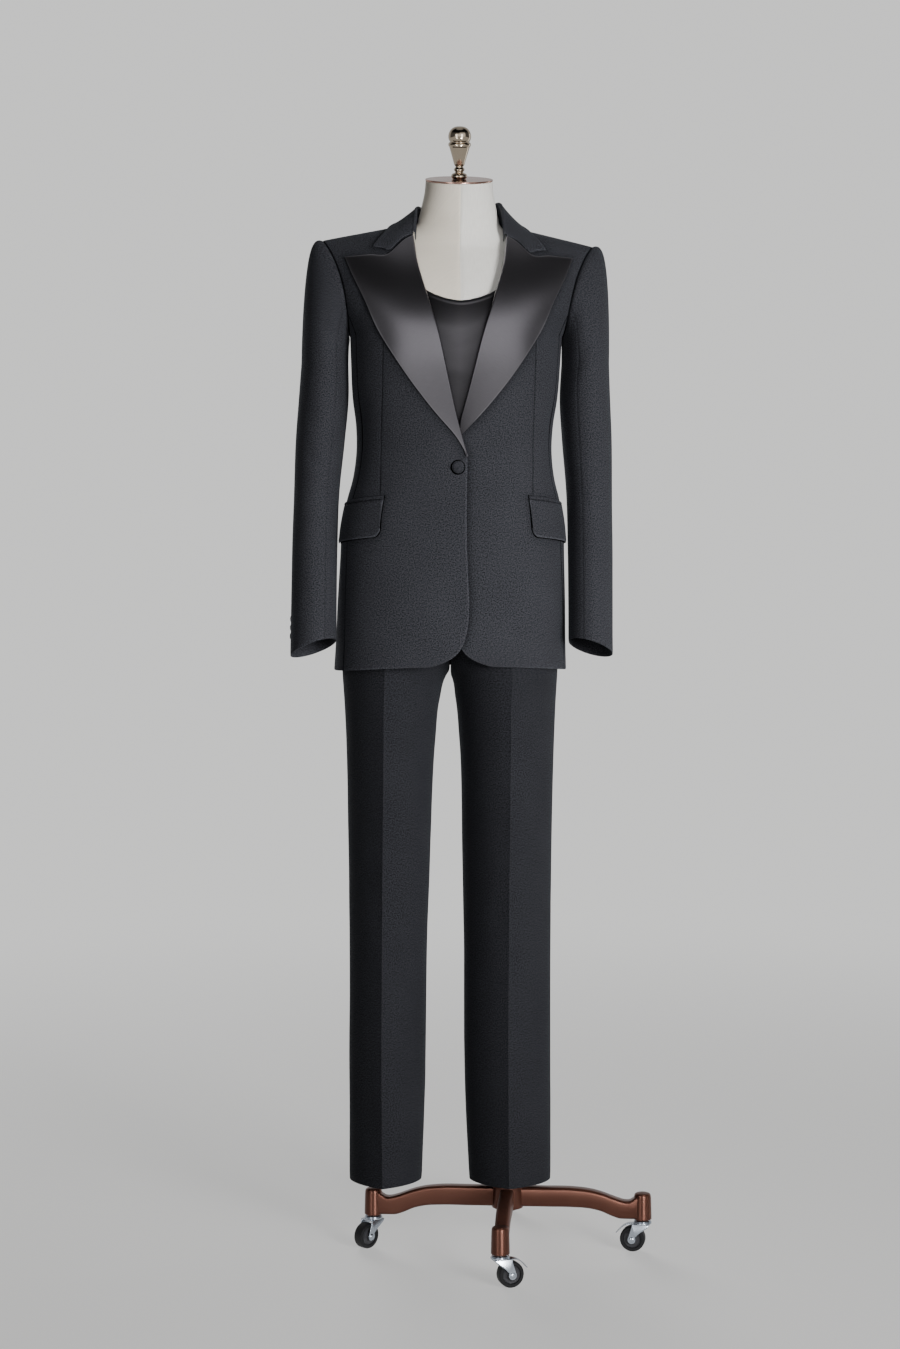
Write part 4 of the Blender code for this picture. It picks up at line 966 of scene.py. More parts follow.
LAPEL_EDGE = table("share from_middle height", """
    0 -13 1201.5
    0.1 3.5 1230
    0.2 28 1256.5
    0.35 65.5 1303
    0.5 94.5 1345
    0.65 121.5 1390
    0.8 140.5 1434
    0.9 156.5 1466
    1 171 1500
""", "share")
NOTCH = table("share dip", """
    0 0
    0.111 2
    0.222 8.5
    0.333 16.2
    0.65 8.5
    1 0
""", "share")


def lapel(side, start, u, v):
    """From the facing inside, round the roll line in half an oval (lift goes by the cosine, reach by the
    sine), and out to the edge. The topmost line takes the notch's dip; lower lines fade it by the fifth
    power."""
    from_facing = u if side > 0 else 1 - u
    v = between(start, 1, v)
    turn = share_of(from_facing, FACING_SHARE, TURN_SHARE) * math.pi
    out = share_of(from_facing, TURN_SHARE, 1)
    inside = share_of(from_facing, FACING_SHARE, 0)
    roll_z = between(BREAK_Z + 0.003, LAPEL_TOP_Z, v)
    roll_x = flow(ROLL, "from_middle", roll_z)
    if side > 0:
        roll_x = np.maximum(roll_x, LAPEL_GAP - roll_x)
    x = between(roll_x, flow(LAPEL_EDGE, "from_middle", v, "share"), out)
    z = between(roll_z, flow(LAPEL_EDGE, "height", v, "share"), out)
    z = z - flow(NOTCH, "dip", out, "share") * v**5
    level = coat_level(side * x, z)
    rolled = LAPEL_ROLL * (1 - out) ** 3 * smooth(0, 0.3, v)
    top = SATIN + LAPEL_LIFT + rolled
    lift = between(FACING_LIFT, top, (1 - np.cos(turn)) / 2) + lap_lift(x, side)
    x = x + FACING * inside * smooth(0.0, 0.15, v) - LAPEL_TURN * np.sin(turn)
    return coat(coat_angle(side * x, level), level, lift)


def calmed(points, passes):
    """In each pass a line becomes half itself and a quarter of each neighbour, so a crease that runs along
    the lines fades, as interlined cloth bridges it. The first and the last line stay."""
    for _ in range(passes):
        points[1:-1] = points[1:-1] / 2 + (points[:-2] + points[2:]) / 4
    return points


outlines, rolls = {}, {}
out_to_edge = between(TURN_SHARE, 1, ruled(56, 1, reach=0.03))
lapel_columns = joined((0, FACING_SHARE, 5), (FACING_SHARE, TURN_SHARE, 13), out_to_edge)
ROLL_COLUMN = 10
for name, side in side_names.items():
    columns = lapel_columns if side > 0 else 1 - lapel_columns[::-1]
    u, v = np.meshgrid(columns, ruled(110, 1, reach=0.012))
    points = calmed(lapel(side, 0.0 if side < 0 else LEFT_LAPEL_FROM, u, v), 30)
    first, last, low, high = edges(points)
    to_edge = last if side > 0 else first
    relief = turned_in(to_edge) + turned_in(high) + settled(points, 21 + side, 0.00016)
    cloth(
        f"{name}_lapel", points, relief, lapel_satin, f"lapel_{name}",
        edge_highlight(np.minimum(to_edge, high), 0.35), held="folded", rests_on=[f"{name}_front"], wall=SATIN,
    )
    from_roll = points if side > 0 else points[:, ::-1]
    rolls[name] = from_roll[:, ROLL_COLUMN]
    outlines[name] = np.concatenate([from_roll[:, -1], from_roll[-1, ::-1]])
shade("left_lapel", rolls["right"], 0.028, 0.75)

# %% [markdown]
# ## Collar
#
# The collar is a band that stands up from the neck seam, turns over at its fold and falls outside over the
# coat. Three lines from the middle of the back to the gorge say where its foot, its fold and its edge lie.
# The fall rests on the coat, so its height is found by asking how high the skin is under each of its
# points.

# %% The collar
COLLAR_WALL = 0.0013
COLLAR_LIFT = 0.0044
COLLAR_ROLL = 0.0026
COLLAR_TILT = 0.0525
STAND_SHARE, FALL_SHARE = 0.25, 0.5

STAND_FOOT = table("share x y z", """
    0 0 66.8 1535
    0.25 41.5 53 1542
    0.5 66.4 8 1555
    0.75 66.4 -28 1545
    0.9 66 -40 1533.5
    1 65.5 -44.5 1526.5
""", "share")
FOLD = table("share x y z", """
    0 0 69 1577
    0.25 41 54 1579.5
    0.5 61.8 12 1585.5
    0.75 66.5 -27 1564
    0.9 68 -40.5 1544.5
    1 69 -44.5 1535.5
""", "share")
FALL_EDGE = table("share x y", """
    0 0 79
    0.2 45 67
    0.35 80 40
    0.5 101 0
    0.65 111 -22.5
    0.8 120.5 -35
    1 130.6 -47.5
""", "share")
COLLAR_END = table("share x y", """
    0 70 -44
    0.25 84.2 -47.2
    0.5 103 -59.5
    0.75 116.6 -53.7
    1 130.6 -47.5
""", "share")


def coat_above(x, y):
    """The height of the coat's skin over a place near the shoulders. The section that just covers the place
    is found by halving: twenty rounds, for all points at once."""
    most = np.where(y < 0, REACH_FRONT, REACH_BACK)
    side = np.where(x < 0, -1, 1)
    low, high = np.zeros(np.shape(x)), np.ones(np.shape(x))
    for _ in range(20):
        rise = (low + high) / 2
        level = between(UNDERARM_Z, SHOULDER_Z, rise)
        angle = coat_angle(x, level, most)
        angle = np.where(y < 0, angle, side * math.pi - angle)
        covers = abs(coat_skin(angle, level)[..., 1]) > abs(y)
        low, high = np.where(covers, rise, low), np.where(covers, high, rise)
    return between(UNDERARM_Z, shoulder_height(x), low)


def line_of(rows, share, side, columns="xy"):
    """A line of a table with its x mirrored to one side."""
    values = [flow(rows, column, share, "share") for column in columns]
    return xyz(side * values[0], *values[1:])


def collar_fall(share, side, top, down):
    """From the fold down to the edge: straight in plan, but bent along the gorge at the front ends, and as
    high as the coat under it plus what is left of the fold's height."""
    ends = (line_of(COLLAR_END, np.full(np.shape(share), end), side) for end in (0, 1))
    bend = line_of(COLLAR_END, down, side) - between(*ends, down[..., None])
    plan = between(top[..., :2], line_of(FALL_EDGE, share, side), down[..., None])
    plan += bend * smooth(0.75, 1, share)[..., None]
    skin = coat_above(plan[..., 0], plan[..., 1]) + COLLAR_LIFT
    start = top[..., 2] - coat_above(top[..., 0], top[..., 1]) - COLLAR_LIFT
    return np.concatenate([plan, (skin + start * (1 - down) ** 1.6)[..., None]], axis=-1)


def collar(u, v):
    """A quarter of the rows stand, a quarter turn over the fold in a half circle, and half are the fall."""
    share = abs(2 * u - 1)
    side = np.where(u < 0.5, -1.0, 1.0)
    foot = line_of(STAND_FOOT, share, side, "xyz")
    fold = line_of(FOLD, share, side, "xyz")
    foot[..., 2] -= SHOULDER_ROLL * foot[..., 0]
    fold[..., 2] += between(COLLAR_TILT, -SHOULDER_ROLL, smooth(0.5, 0.85, share)) * fold[..., 0]
    out = line_of(FALL_EDGE, share, side) - foot[..., :2]
    out /= np.linalg.norm(out, axis=-1, keepdims=True)
    out = np.concatenate([out, 0 * out[..., :1]], axis=-1) * COLLAR_ROLL
    turn = share_of(v, STAND_SHARE, FALL_SHARE)[..., None] * math.pi
    stand = between(foot, fold - out, share_of(v, 0, STAND_SHARE)[..., None])
    over = fold - out * np.cos(turn) + np.array([0, 0, COLLAR_ROLL]) * np.sin(turn)
    fall = collar_fall(share, side, fold + out, share_of(v, FALL_SHARE, 1))
    at = v[..., None]
    return on_form(np.where(at <= STAND_SHARE, stand, np.where(at < FALL_SHARE, over, fall)))


fall_rows = between(FALL_SHARE, 1, ruled(34, 1, reach=0.05))
collar_rows = joined((0, STAND_SHARE, 10), (STAND_SHARE, FALL_SHARE, 14), fall_rows)
u, v = np.meshgrid(ruled(130, 0, 1, reach=0.008), collar_rows)
points = collar(u, v)
first, last, low, high = edges(points)
to_end = np.minimum(first, last)
relief = dip(high, 0.0004) + bell(high, 0.0004, 0.003, 0.005) + dip(to_end, 0.0004)
relief += settled(points, 31, 0.0002)
cloth(
    "collar", points, relief, jacket_wool, "coat_collar", edge_highlight(np.minimum(high, to_end)),
    held="folded", rests_on=["right_back", "left_back"], wall=COLLAR_WALL,
)

# The shade beside the edges of the lapels and the collar, on the cloth they lie on.
half = len(points) // 2
collar_edge = np.concatenate([points[::-1, 0][:half], points[-1], points[::-1, -1][:half]])
for name in side_names:
    shade(f"{name}_front", outlines[name])
    shade(f"{name}_front", collar_edge)
    shade(f"{name}_back", collar_edge)
    shade(f"{name}_lapel", collar_edge, 0.003, 0.9)
shade("left_front", laid["right_front"][1][:, -1], 0.005, 0.9)

# %% [markdown]
# ## Sleeves
#
# A tailored sleeve has two pieces, an upper and a narrower under sleeve, and hangs a little forward, as the
# arm does. Each line runs up an oval tube to the armhole and closes in over a quarter of an oval, which
# makes the square, full head of a padded shoulder. The folds are few: drags at the front of the elbow and
# under the arm. At the armhole each piece turns in by its seam allowance, and the two pieces lap by a hair
# at their seams, so that no light comes through where the real ones are sewn together.

# %% Sleeves
SLEEVE_HEAD_Z = 1.345
CUFF_Z = 0.9150
CUFF_TILT = 0.0155
CUFF_HIGH_AT = math.radians(135)
TUBE_SHARE = 0.6
HEAD_SQUARE = 0.5
SLEEVE_LAP = 0.0012
ALLOWANCE = 0.006
FRONT_SEAM_AT = math.radians(118)
BACK_SEAM_AT = (math.radians(98), math.radians(42))
SLEEVE_RADIUS = 0.045

SLEEVE = table("height outer inner middle_y half_depth", """
    890 242 174 -60 45
    980 242 174.5 -37 48
    1060 242.5 174.5 -17 51
    1150 242 172.5 0 55
    1230 240.5 165.5 8 59
    1290 237 161.2 9 63
    1350 233.5 163 6 66
""")
# Round the sleeve from its outer line, and up.
SLEEVE_CREASES = table(FOLD_COLUMNS, """
    85.5 1170 42.75 1205 -1.3 11
    92.25 1140 54 1128 -1.1 10
    81 1232 38.25 1262 -0.9 12
    99 1330 56.25 1420 -1.4 12
    105.75 1290 72 1350 1 13
    15.75 1100 20.25 960 0.7 17
    -54 1330 -33.75 1440 -1.3 13
    -72 1150 -40.5 1185 -1.1 12
    -67.5 1200 -36 1225 0.9 12
""")


def armhole(around, side):
    """The armhole's loop: 0 at the shoulder, a quarter turn at the front, half a turn under the arm."""
    rise = (1 + np.cos(around)) / 2
    front = armhole_angle(rise, REACH_FRONT)
    back = math.pi - armhole_angle(rise, REACH_BACK)
    angle = side * np.where(np.sin(around) >= 0, front, back)
    points = coat_skin(angle, between(UNDERARM_Z, SHOULDER_Z, rise))
    points[..., 0] += side * SEAM
    return points


def sleeve_ring(around, height, side):
    """An oval section, tilted at the cuff so that it is higher in front."""
    outer, inner = flow(SLEEVE, "outer", height), flow(SLEEVE, "inner", height)
    x = (outer + inner) / 2 + (outer - inner) / 2 * np.cos(around)
    y = flow(SLEEVE, "middle_y", height) - flow(SLEEVE, "half_depth", height) * np.sin(around)
    z = height + CUFF_TILT * (1 - smooth(CUFF_Z, 1.16, height)) * np.cos(around - CUFF_HIGH_AT)
    return xyz(side * x, y, z)


def sleeve_skin(around, v, side):
    """From the cuff (0) to the armhole (1): an upright tube, then a head whose lines leave the armhole
    outwards and bend down over a quarter of an oval."""
    tube = sleeve_ring(around, between(CUFF_Z, SLEEVE_HEAD_Z, share_of(v, 0, TUBE_SHARE)), side)
    start = armhole(around, side)
    end = sleeve_ring(around, np.full(np.shape(v), SLEEVE_HEAD_Z), side)
    turn = share_of(v, 1, TUBE_SHARE) * math.pi / 2
    square = between(1, HEAD_SQUARE, np.maximum(np.cos(around), 0))
    share = xyz(np.sin(turn) ** square, np.sin(turn), 1 - np.cos(turn))
    return np.where((v <= TUBE_SHARE)[..., None], tube, start + (end - start) * share)


def sleeve_piece(side, under, u, v):
    """The upper sleeve runs from the back seam over the outside to the front seam, the under sleeve the
    rest."""
    back_seam = -between(BACK_SEAM_AT[1], BACK_SEAM_AT[0], smooth(0.05, 0.9, v))
    start, end = (FRONT_SEAM_AT, 2 * math.pi + back_seam) if under else (back_seam, FRONT_SEAM_AT)
    around = between(start - SLEEVE_LAP, end + SLEEVE_LAP, 1 - u if side > 0 else u)
    return on_form(sleeve_skin(around, v, side)), around


sleeve_rows = joined((0, TUBE_SHARE, 90), between(TUBE_SHARE, 1, ruled(40, 1, reach=0.03)))
for name, side in side_names.items():
    for part, under, count in (("upper", False, 56), ("under", True, 40)):
        u, v = np.meshgrid(ruled(count, 0, 1, reach=0.03), sleeve_rows)
        points, around = sleeve_piece(side, under, u, v)
        points = np.concatenate([points, points[-1:] - (side * ALLOWANCE, 0, 0)])
        around = np.concatenate([around, around[-1:]])
        first, last, low, high = edges(points)
        high = abs(high - ALLOWANCE)
        relief = dip(first, 0.0005) + dip(last, 0.0005) + dip(high, 0.0012, 0.0022)
        relief += turned_in(low) + bell(high, 0.0006, 0.005, 0.007) + settled(points, 41 + side)
        place = np.where(around > math.pi, around - 2 * math.pi, around) * SLEEVE_RADIUS
        relief += creased(place, points[..., 2] + 0.006 * side, SLEEVE_CREASES)
        cloth(
            f"{name}_{part}_sleeve", points, relief, jacket_wool, f"sleeve_{part}_{name}",
            seam_shade(high, reach=0.0016), 0.25 * seam_shade(first, last), edge_highlight(low, 0.35),
            rests_on=[f"{name}_front", f"{name}_back"],
        )

# %% [markdown]
# ## Pockets
#
# Each front has a flap pocket. The flap hangs from a jet, a narrow welt of the same cloth, and both fall a
# little towards the side. The flap's corners are quarter circles, so its depth drops towards both ends. It
# stands off the coat a little more at its lower edge, as a lined flap does, which gives it a shadow. A black
# sheet behind flap and jet shows as a hair line round them: it is a painted shadow of their edges.

# %% Pockets
POCKET_Z = 1.1372
POCKET_FALL = 0.0105
POCKET_FROM = math.radians(39)
POCKET_TO = math.radians(97)
POCKET_LENGTH = 0.145
FLAP_DEPTH = 0.056
FLAP_CORNER = 0.012
JET_HEIGHT = 0.0052
SHADOW_LINE_SHOWS = 0.007


def pocket_line(share):
    """The pocket's mouth falls a little towards the side."""
    return POCKET_Z - POCKET_FALL * share


def flap_depth(share):
    """The flap's depth, less at each end by a quarter circle: one less the root of one less a square."""
    along = POCKET_LENGTH * np.minimum(share, 1 - share)
    inside = share_of(along, FLAP_CORNER, 0)
    return FLAP_DEPTH - FLAP_CORNER * (1 - np.sqrt(1 - inside**2))


def pocket_piece(side, share, low, high, v, lift):
    return coat(side * between(POCKET_FROM, POCKET_TO, share), between(low, high, v), lift)


for name, side in side_names.items():
    u, v = np.meshgrid(ruled(56, 0, 1, reach=0.09), ruled(26, 0, reach=0.06))
    share = u if side > 0 else 1 - u
    mouth = pocket_line(share)
    off = WOOL + between(0.0020, 0.0008, v) + 0.0004 * np.sin(math.pi * u)
    points = pocket_piece(side, share, mouth - flap_depth(share), mouth, v, off)
    first, last, low, high = edges(points)
    to_edge = np.minimum(np.minimum(first, last), low)
    relief = dip(to_edge, 0.0004, 0.0014) + bell(to_edge, 0.0003, 0.002, 0.0045)
    cloth(
        f"{name}_pocket_flap", points, relief, jacket_wool, f"pocket_flap_{name}", edge_highlight(to_edge, 1.0),
        seam_shade(high), rests_on=[f"{name}_front"],
    )
    outline = np.concatenate([points[::-1, 0], points[0], points[:, -1], points[-1]])
    shade(f"{name}_front", outline, 0.004, 0.8)

    u, v = np.meshgrid(ruled(40, 0, 1, reach=0.03), np.linspace(0, 1, 10))
    mouth = pocket_line(u if side > 0 else 1 - u)
    ends = np.sqrt(np.clip(1 - (2 * np.clip(abs(u - 0.5) - 0.47, 0, 1) / 0.06) ** 2, 0.02, 1))
    off = SATIN + 0.0002 + 0.0016 * np.sin(math.pi * v) * ends
    points = pocket_piece(side, u if side > 0 else 1 - u, mouth + SEAM, mouth + JET_HEIGHT, v, off)
    jet = piece(f"{name}_pocket_jet", points, jacket_wool, f"pocket_jet_{name}", SATIN)

    # Painted shadow: a black sheet a little larger than flap and jet, just behind them.
    u, v = np.meshgrid(np.linspace(0, 1, 60), np.linspace(0, 1, 12))
    share = between(-SHADOW_LINE_SHOWS, 1 + SHADOW_LINE_SHOWS, u if side > 0 else 1 - u)
    mouth = pocket_line(share)
    low, high = mouth - flap_depth(abs(u)) - 0.0010, mouth + JET_HEIGHT + 0.0007
    points = pocket_piece(side, share, low, high, v, 0.0007)
    piece(f"{name}_pocket_shadow_line", points, shadow_black, wall=0.0005)

# %% [markdown]
# ## Turned and bent shapes
#
# Buttons, the finial, wheels and washers are turned: a profile of radii and heights is swept round an axis. A
# few given corners make the profile, and `eased` rounds them by cutting each corner off twice (Chaikin's
# way), so a corner that needs to stay crisp is simply given a close neighbour. `cord` bends a round section
# along any path, for whipped stitches and wire.

# %% Turned and bent shapes


def eased(corners, rounds=3):
    """Rounds a chain of corners: every stretch is replaced by its points at a quarter and three quarters."""
    corners = np.array(corners, float)
    for _ in range(rounds):
        quarter = between(corners[:-1], corners[1:], 0.25)
        rest = between(corners[:-1], corners[1:], 0.75)
        inner = np.stack([quarter, rest], axis=1).reshape(-1, corners.shape[1])
        corners = np.concatenate([corners[:1], inner[1:-1], corners[-1:]])
    return corners


def profile(text, rounds, kind="open"):
    """The eased chain of corners written as pairs of radius and height in millimetres. A mirrored one is
    only its lower half: the upper one is the same corners in the other order, their heights the other way.
    A ring is mirrored too, and ends where it starts."""
    corners = np.array(text.split(), float).reshape(-1, 2) / 1000
    if kind != "open":
        corners = np.concatenate([corners, corners[::-1] * (1, -1)])
    if kind == "ring":
        corners = np.concatenate([corners[-1:], corners])
    return eased(corners, rounds)


def turned(corners, count=48):
    """Sweeps radii and heights, listed from the bottom up along the outer side, round the upright axis."""
    around = np.linspace(0, 2 * math.pi, count, endpoint=False)
    radius, height = np.array(corners).T[..., None]
    return xyz(radius * np.cos(around), radius * np.sin(around), height)


def unit(vector, **how):
    return vector / np.linalg.norm(vector, axis=-1, **how)


def set_on(points, place, direction):
    """Stands a turned shape on a surface, its axis along the direction out of it."""
    right = unit(np.cross((0.0, 0.0, 1.0), direction))
    return points @ np.stack([right, np.cross(direction, right), direction]) + place


def on_surface(surface, *at):
    """A point of a surface and the direction out of it, from two nearby points each way."""
    u, v = (np.array([value]) for value in at)
    step = 0.003
    across = surface(u + step, v) - surface(u - step, v)
    up = surface(u, v + step) - surface(u, v - step)
    return surface(u, v)[0], unit(np.cross(across, up)[0])


def cord(path, radius, up, count=10):
    """A round section carried along a path: one side lies along `up`, the other square to it and the path."""
    ahead = unit(np.gradient(path, axis=0), keepdims=True)
    side = unit(np.cross(ahead, up), keepdims=True)
    around = np.linspace(0, 2 * math.pi, count, endpoint=False)[None, :, None]
    round_ = np.cos(around) * side[:, None] + np.sin(around) * np.cross(side, ahead)[:, None]
    return path[:, None] + np.broadcast_to(radius, len(path))[:, None, None] * round_


print("a corner eased three times becomes", len(eased([(0, 0), (1, 0), (1, 1)])), "points")

# %% [markdown]
# ## Buttons and the buttonhole
#
# The front closes with one cloth-covered button: a low dome, drawn in at its rim where the cloth is
# gathered behind. A black ring under it stands out a little: it is the painted shadow round the button's
# rim. The buttonhole shows as a thin oval of whipped thread that ends just beside it. Each cuff has three
# small buttons near its back seam.

# %% Buttons
FRONT_BUTTON_Z = 1.1835
# Radius, height, height of the rim, and how far the flat back lies behind zero.
FRONT_BUTTON = (0.0092, 0.0065, 0.0020, -0.0014)
FRONT_BUTTON_OUT = 0.0018
CUFF_BUTTON = (0.0057, 0.0028, 0.0012)
CUFF_BUTTON_SUNK = 0.0005
CUFF_BUTTON_FROM = 0.030
CUFF_BUTTON_PITCH = 0.0123
CUFF_BUTTON_AT = math.radians(20)
BUTTONHOLE = (0.0098, 0.0012)
BUTTONHOLE_X = -0.0040


def dome(radius, height, rim, back=0.0):
    """A covered button: flat back, a rim drawn in below, and a crown that is a quarter of an oval."""
    turn = np.linspace(0, math.pi / 2, 12)
    crown = xyz(radius * np.cos(turn), rim + (height - rim) * np.sin(turn))
    drawn = eased([(radius * 0.55, back), (radius * 0.86, back), (radius * 0.97, rim * 0.5), tuple(crown[0])])
    return np.concatenate([[(0, back)], drawn[:-1], crown])


place, out = on_surface(lambda a, z: coat(a, z, LAP_LIFT), 0.0, FRONT_BUTTON_Z)
covered = set_on(turned(dome(*FRONT_BUTTON), 64), place + out * FRONT_BUTTON_OUT, out)
piece("front_button", covered, jacket_wool, "front_button")
# Painted shadow: a black ring a little wider than the button, under it.
shadow_ring = profile("0 0  10.2 0  10.9 0.3  10.7 0.9  9 1.4  0 1.4", 0)
piece("button_shadow_ring", set_on(turned(shadow_ring, 64), place, out), shadow_black, wrap=True)

turn = np.linspace(0, 2 * math.pi, 121)
across = np.clip(1.35 * np.cos(turn), -1, 1) * BUTTONHOLE[0] + BUTTONHOLE_X
level = FRONT_BUTTON_Z + np.sin(turn) * BUTTONHOLE[1]
path = coat(coat_angle(across, level), level, lap_lift(across, -1) + 0.0002)
stitches = 0.00055 * (1 + 0.18 * np.sin(turn * 60))
piece("buttonhole", cord(path, stitches, out), jacket_wool, wrap=True)

for name, side in side_names.items():
    for number in range(3):
        height = CUFF_BUTTON_FROM + CUFF_BUTTON_PITCH * number
        share = TUBE_SHARE * height / (SLEEVE_HEAD_Z - CUFF_Z)
        place, out = on_surface(lambda a, v: on_form(sleeve_skin(a, v, side)), -CUFF_BUTTON_AT, share)
        button = set_on(turned(dome(*CUFF_BUTTON), 32), place - side * out * CUFF_BUTTON_SUNK, -side * out)
        label = f"cuff_button_{name}_{number + 1}"
        piece(label, button, jacket_wool, label, wrap=True)

# %% [markdown]
# ## Trousers
#
# Each leg is an oval drawn to a point in front and behind, where the crease is pressed: a mix of a cosine,
# which is round, and a tent, which is sharp. Above the fork the oval grows until both legs are one. The
# crease gets its own columns, close together, so that it stays a crisp line with a flat plane on each side.

# %% Trousers
TROUSER_HEM_Z = 0.108
FORK_FROM_Z, FORK_TO_Z = 0.82, 0.98
WAIST_Z = 1.140
WAISTBAND_TOP_Z = 1.174
WAISTBAND_WALL = 0.0022
CREASE_X = 0.0945

TROUSERS = table("height outer inner shift front back crease", """
    100 152.8 36.5 6.4 72.5 72.5 0.36
    232 152.8 31 7.5 73 73.5 0.36
    488 153 27.5 6.8 79 81 0.34
    624 154.5 23.6 5.5 84 88 0.32
    775 158 18 4 92 98 0.26
    835 160.5 12 3.6 97 104 0.22
    876 163 1 2 101 110 0.18
    900 164 -20 1 103 114 0.16
    940 164 -80 0 106 120 0.12
    1000 161 -161 0 108 123 0.10
    1060 157 -157 0 108 118 0.08
    1120 149 -149 0 106 108 0.04
    1180 143 -143 0 103 99 0
""", "crease")


def leg_oval(height, side):
    """The leg's middle and half width. Above the fork the oval grows until it is the whole hip's. The gap
    between the legs lies a little to one side."""
    outer = flow(TROUSERS, "outer", height)
    inner = np.maximum(flow(TROUSERS, "inner", height) - side * flow(TROUSERS, "shift", height), -outer)
    return (outer + inner) / 2, (outer - inner) / 2


def leg_end(height, side):
    """The angle of the inner edge: the inseam on the leg, the middle seam above the fork."""
    middle, half = leg_oval(height, side)
    return -np.arcsin(np.clip((middle - SEAM) / half, 0, 1))


def crease_angle(height, side):
    middle, half = leg_oval(height, side)
    x = CREASE_X - side * flow(TROUSERS, "shift", height)
    return np.arcsin(np.clip((x - middle) / half, -1, 1))


def trouser_skin(angle, height, side, behind):
    """An oval drawn to a point at the crease: across goes by the sine, depth by a share of the cosine and the
    rest of a tent that is one at the crease and nothing at both sides."""
    middle, half = leg_oval(height, side)
    crease = np.sin(crease_angle(height, side))
    depth = flow(TROUSERS, "back" if behind else "front", height)
    across = np.sin(angle)
    tent = np.where(across > crease, (1 - across) / (1 - crease), (1 + across) / (1 + crease))
    along = between(np.cos(angle), tent, flow(TROUSERS, "crease", height))
    return xyz(side * (middle + half * across), (1 if behind else -1) * depth * along, height)


def trouser_rows(v):
    """Rows from the hem to the waist, closer together about the fork: a third for the leg, then five
    twelfths, then a quarter."""
    leg = between(TROUSER_HEM_Z, FORK_FROM_Z, share_of(v, 0, 1 / 3) ** 0.9)
    fork = between(FORK_FROM_Z, FORK_TO_Z, (v * 12 - 4) / 5)
    hip = between(FORK_TO_Z, WAIST_Z - SEAM, (v * 12 - 9) / 3)
    return np.where(v < 1 / 3, leg, np.where(v < 0.75, fork, hip))


def trouser_piece(side, behind, u, v):
    """A panel from its inner edge (0) over the crease (a half) to the side seam (1)."""
    height = trouser_rows(v)
    to_side = u if (side > 0) != behind else 1 - u
    gap = SEAM / (flow(TROUSERS, "front", height) * (1 - flow(TROUSERS, "crease", height)))
    inner, crease = leg_end(height, side) + gap, crease_angle(height, side)
    to_crease = between(inner, crease, to_side * 2)
    angle = np.where(to_side < 0.5, to_crease, between(crease, math.pi / 2 - gap, to_side * 2 - 1))
    return on_form(trouser_skin(angle, height, side, behind), FORM_TURN * smooth(0.88, 1.05, height))


def waistband(u, v):
    angle = between(SEAM / 0.1, 2 * math.pi - SEAM / 0.1, u)
    height = between(WAIST_Z + SEAM, WAISTBAND_TOP_Z, v)
    behind = np.cos(angle) < 0
    folded = np.where(behind, math.pi - angle, angle)
    ahead_points, back_points = (trouser_skin(folded, height, 1, which) for which in (False, True))
    return on_form(np.where(behind[..., None], back_points, ahead_points))


TROUSER_CREASES = table(FOLD_COLUMNS, """
    55 520 140 560 -0.9 20
    60 480 135 465 0.7 22
    50 200 110 150 -0.8 20
    120 330 128 130 -0.9 16
    65 760 60 420 0.8 18
    125 800 130 550 -0.8 20
""")
TROUSER_BACK_CREASES = table(FOLD_COLUMNS, """
    50 545 140 520 -2.2 15
    60 500 130 510 1.4 16
    55 460 135 475 -1.8 15
    40 840 110 780 -1.6 17
    120 360 128 140 -1.2 18
    55 250 110 160 1 20
""")
leg_rows = joined((0, 0.01, 5), (0, 1 / 3, 84), (1 / 3, 0.75, 26), (0.75, 1, 6))
for name, side in side_names.items():
    for part, behind, rows in (("front", False, TROUSER_CREASES), ("back", True, TROUSER_BACK_CREASES)):
        u, v = np.meshgrid(ruled(40, 0, 0.5, 1), leg_rows)
        points = trouser_piece(side, behind, u, v)
        first, last, low, high = edges(points)
        from_crease = from_half(points, u)
        relief = dip(first) + dip(last) + turned_in(low)
        relief += (1 - smooth(0.95, 1.05, points[..., 2])) * 0.0007 * np.exp(-from_crease / 0.0022)
        folds = creased(side * points[..., 0], points[..., 2] + 0.02 * side, rows)
        folds += settled(points, 51 + side + 2 * behind)
        relief += (1 - bell(from_crease, 1, 0.012)) * folds
        cloth(
            f"{name}_trouser_{part}", points, relief, trouser_wool, f"trouser_{part}_{name}",
            seam_shade(first, last), rests_on=["waistband"],
        )

points = waistband(*np.meshgrid(np.linspace(0, 1, 120), np.linspace(0, 1, 6)))
band = piece("waistband", points, trouser_wool, "trouser_waistband", WAISTBAND_WALL)

# %% [markdown]
# ## Top
#
# Under the jacket is a plain satin top with a scooped neck. It lies close on the form at the bust and
# further in at the waist. Its neckline is turned and stitched, so the last few millimetres stand up a
# little as a soft roll.

# %% Top
TOP_BOTTOM_Z = 1.125
TOP_NECK_Z = 1.4320
TOP_STRAP_X = 0.118
TOP_BACK_NECK_Z = 1.485
# How far inside the coat's skin the top lies, at the waist and at the bust.
TOP_LIFT = (0.0240, 0.0058)


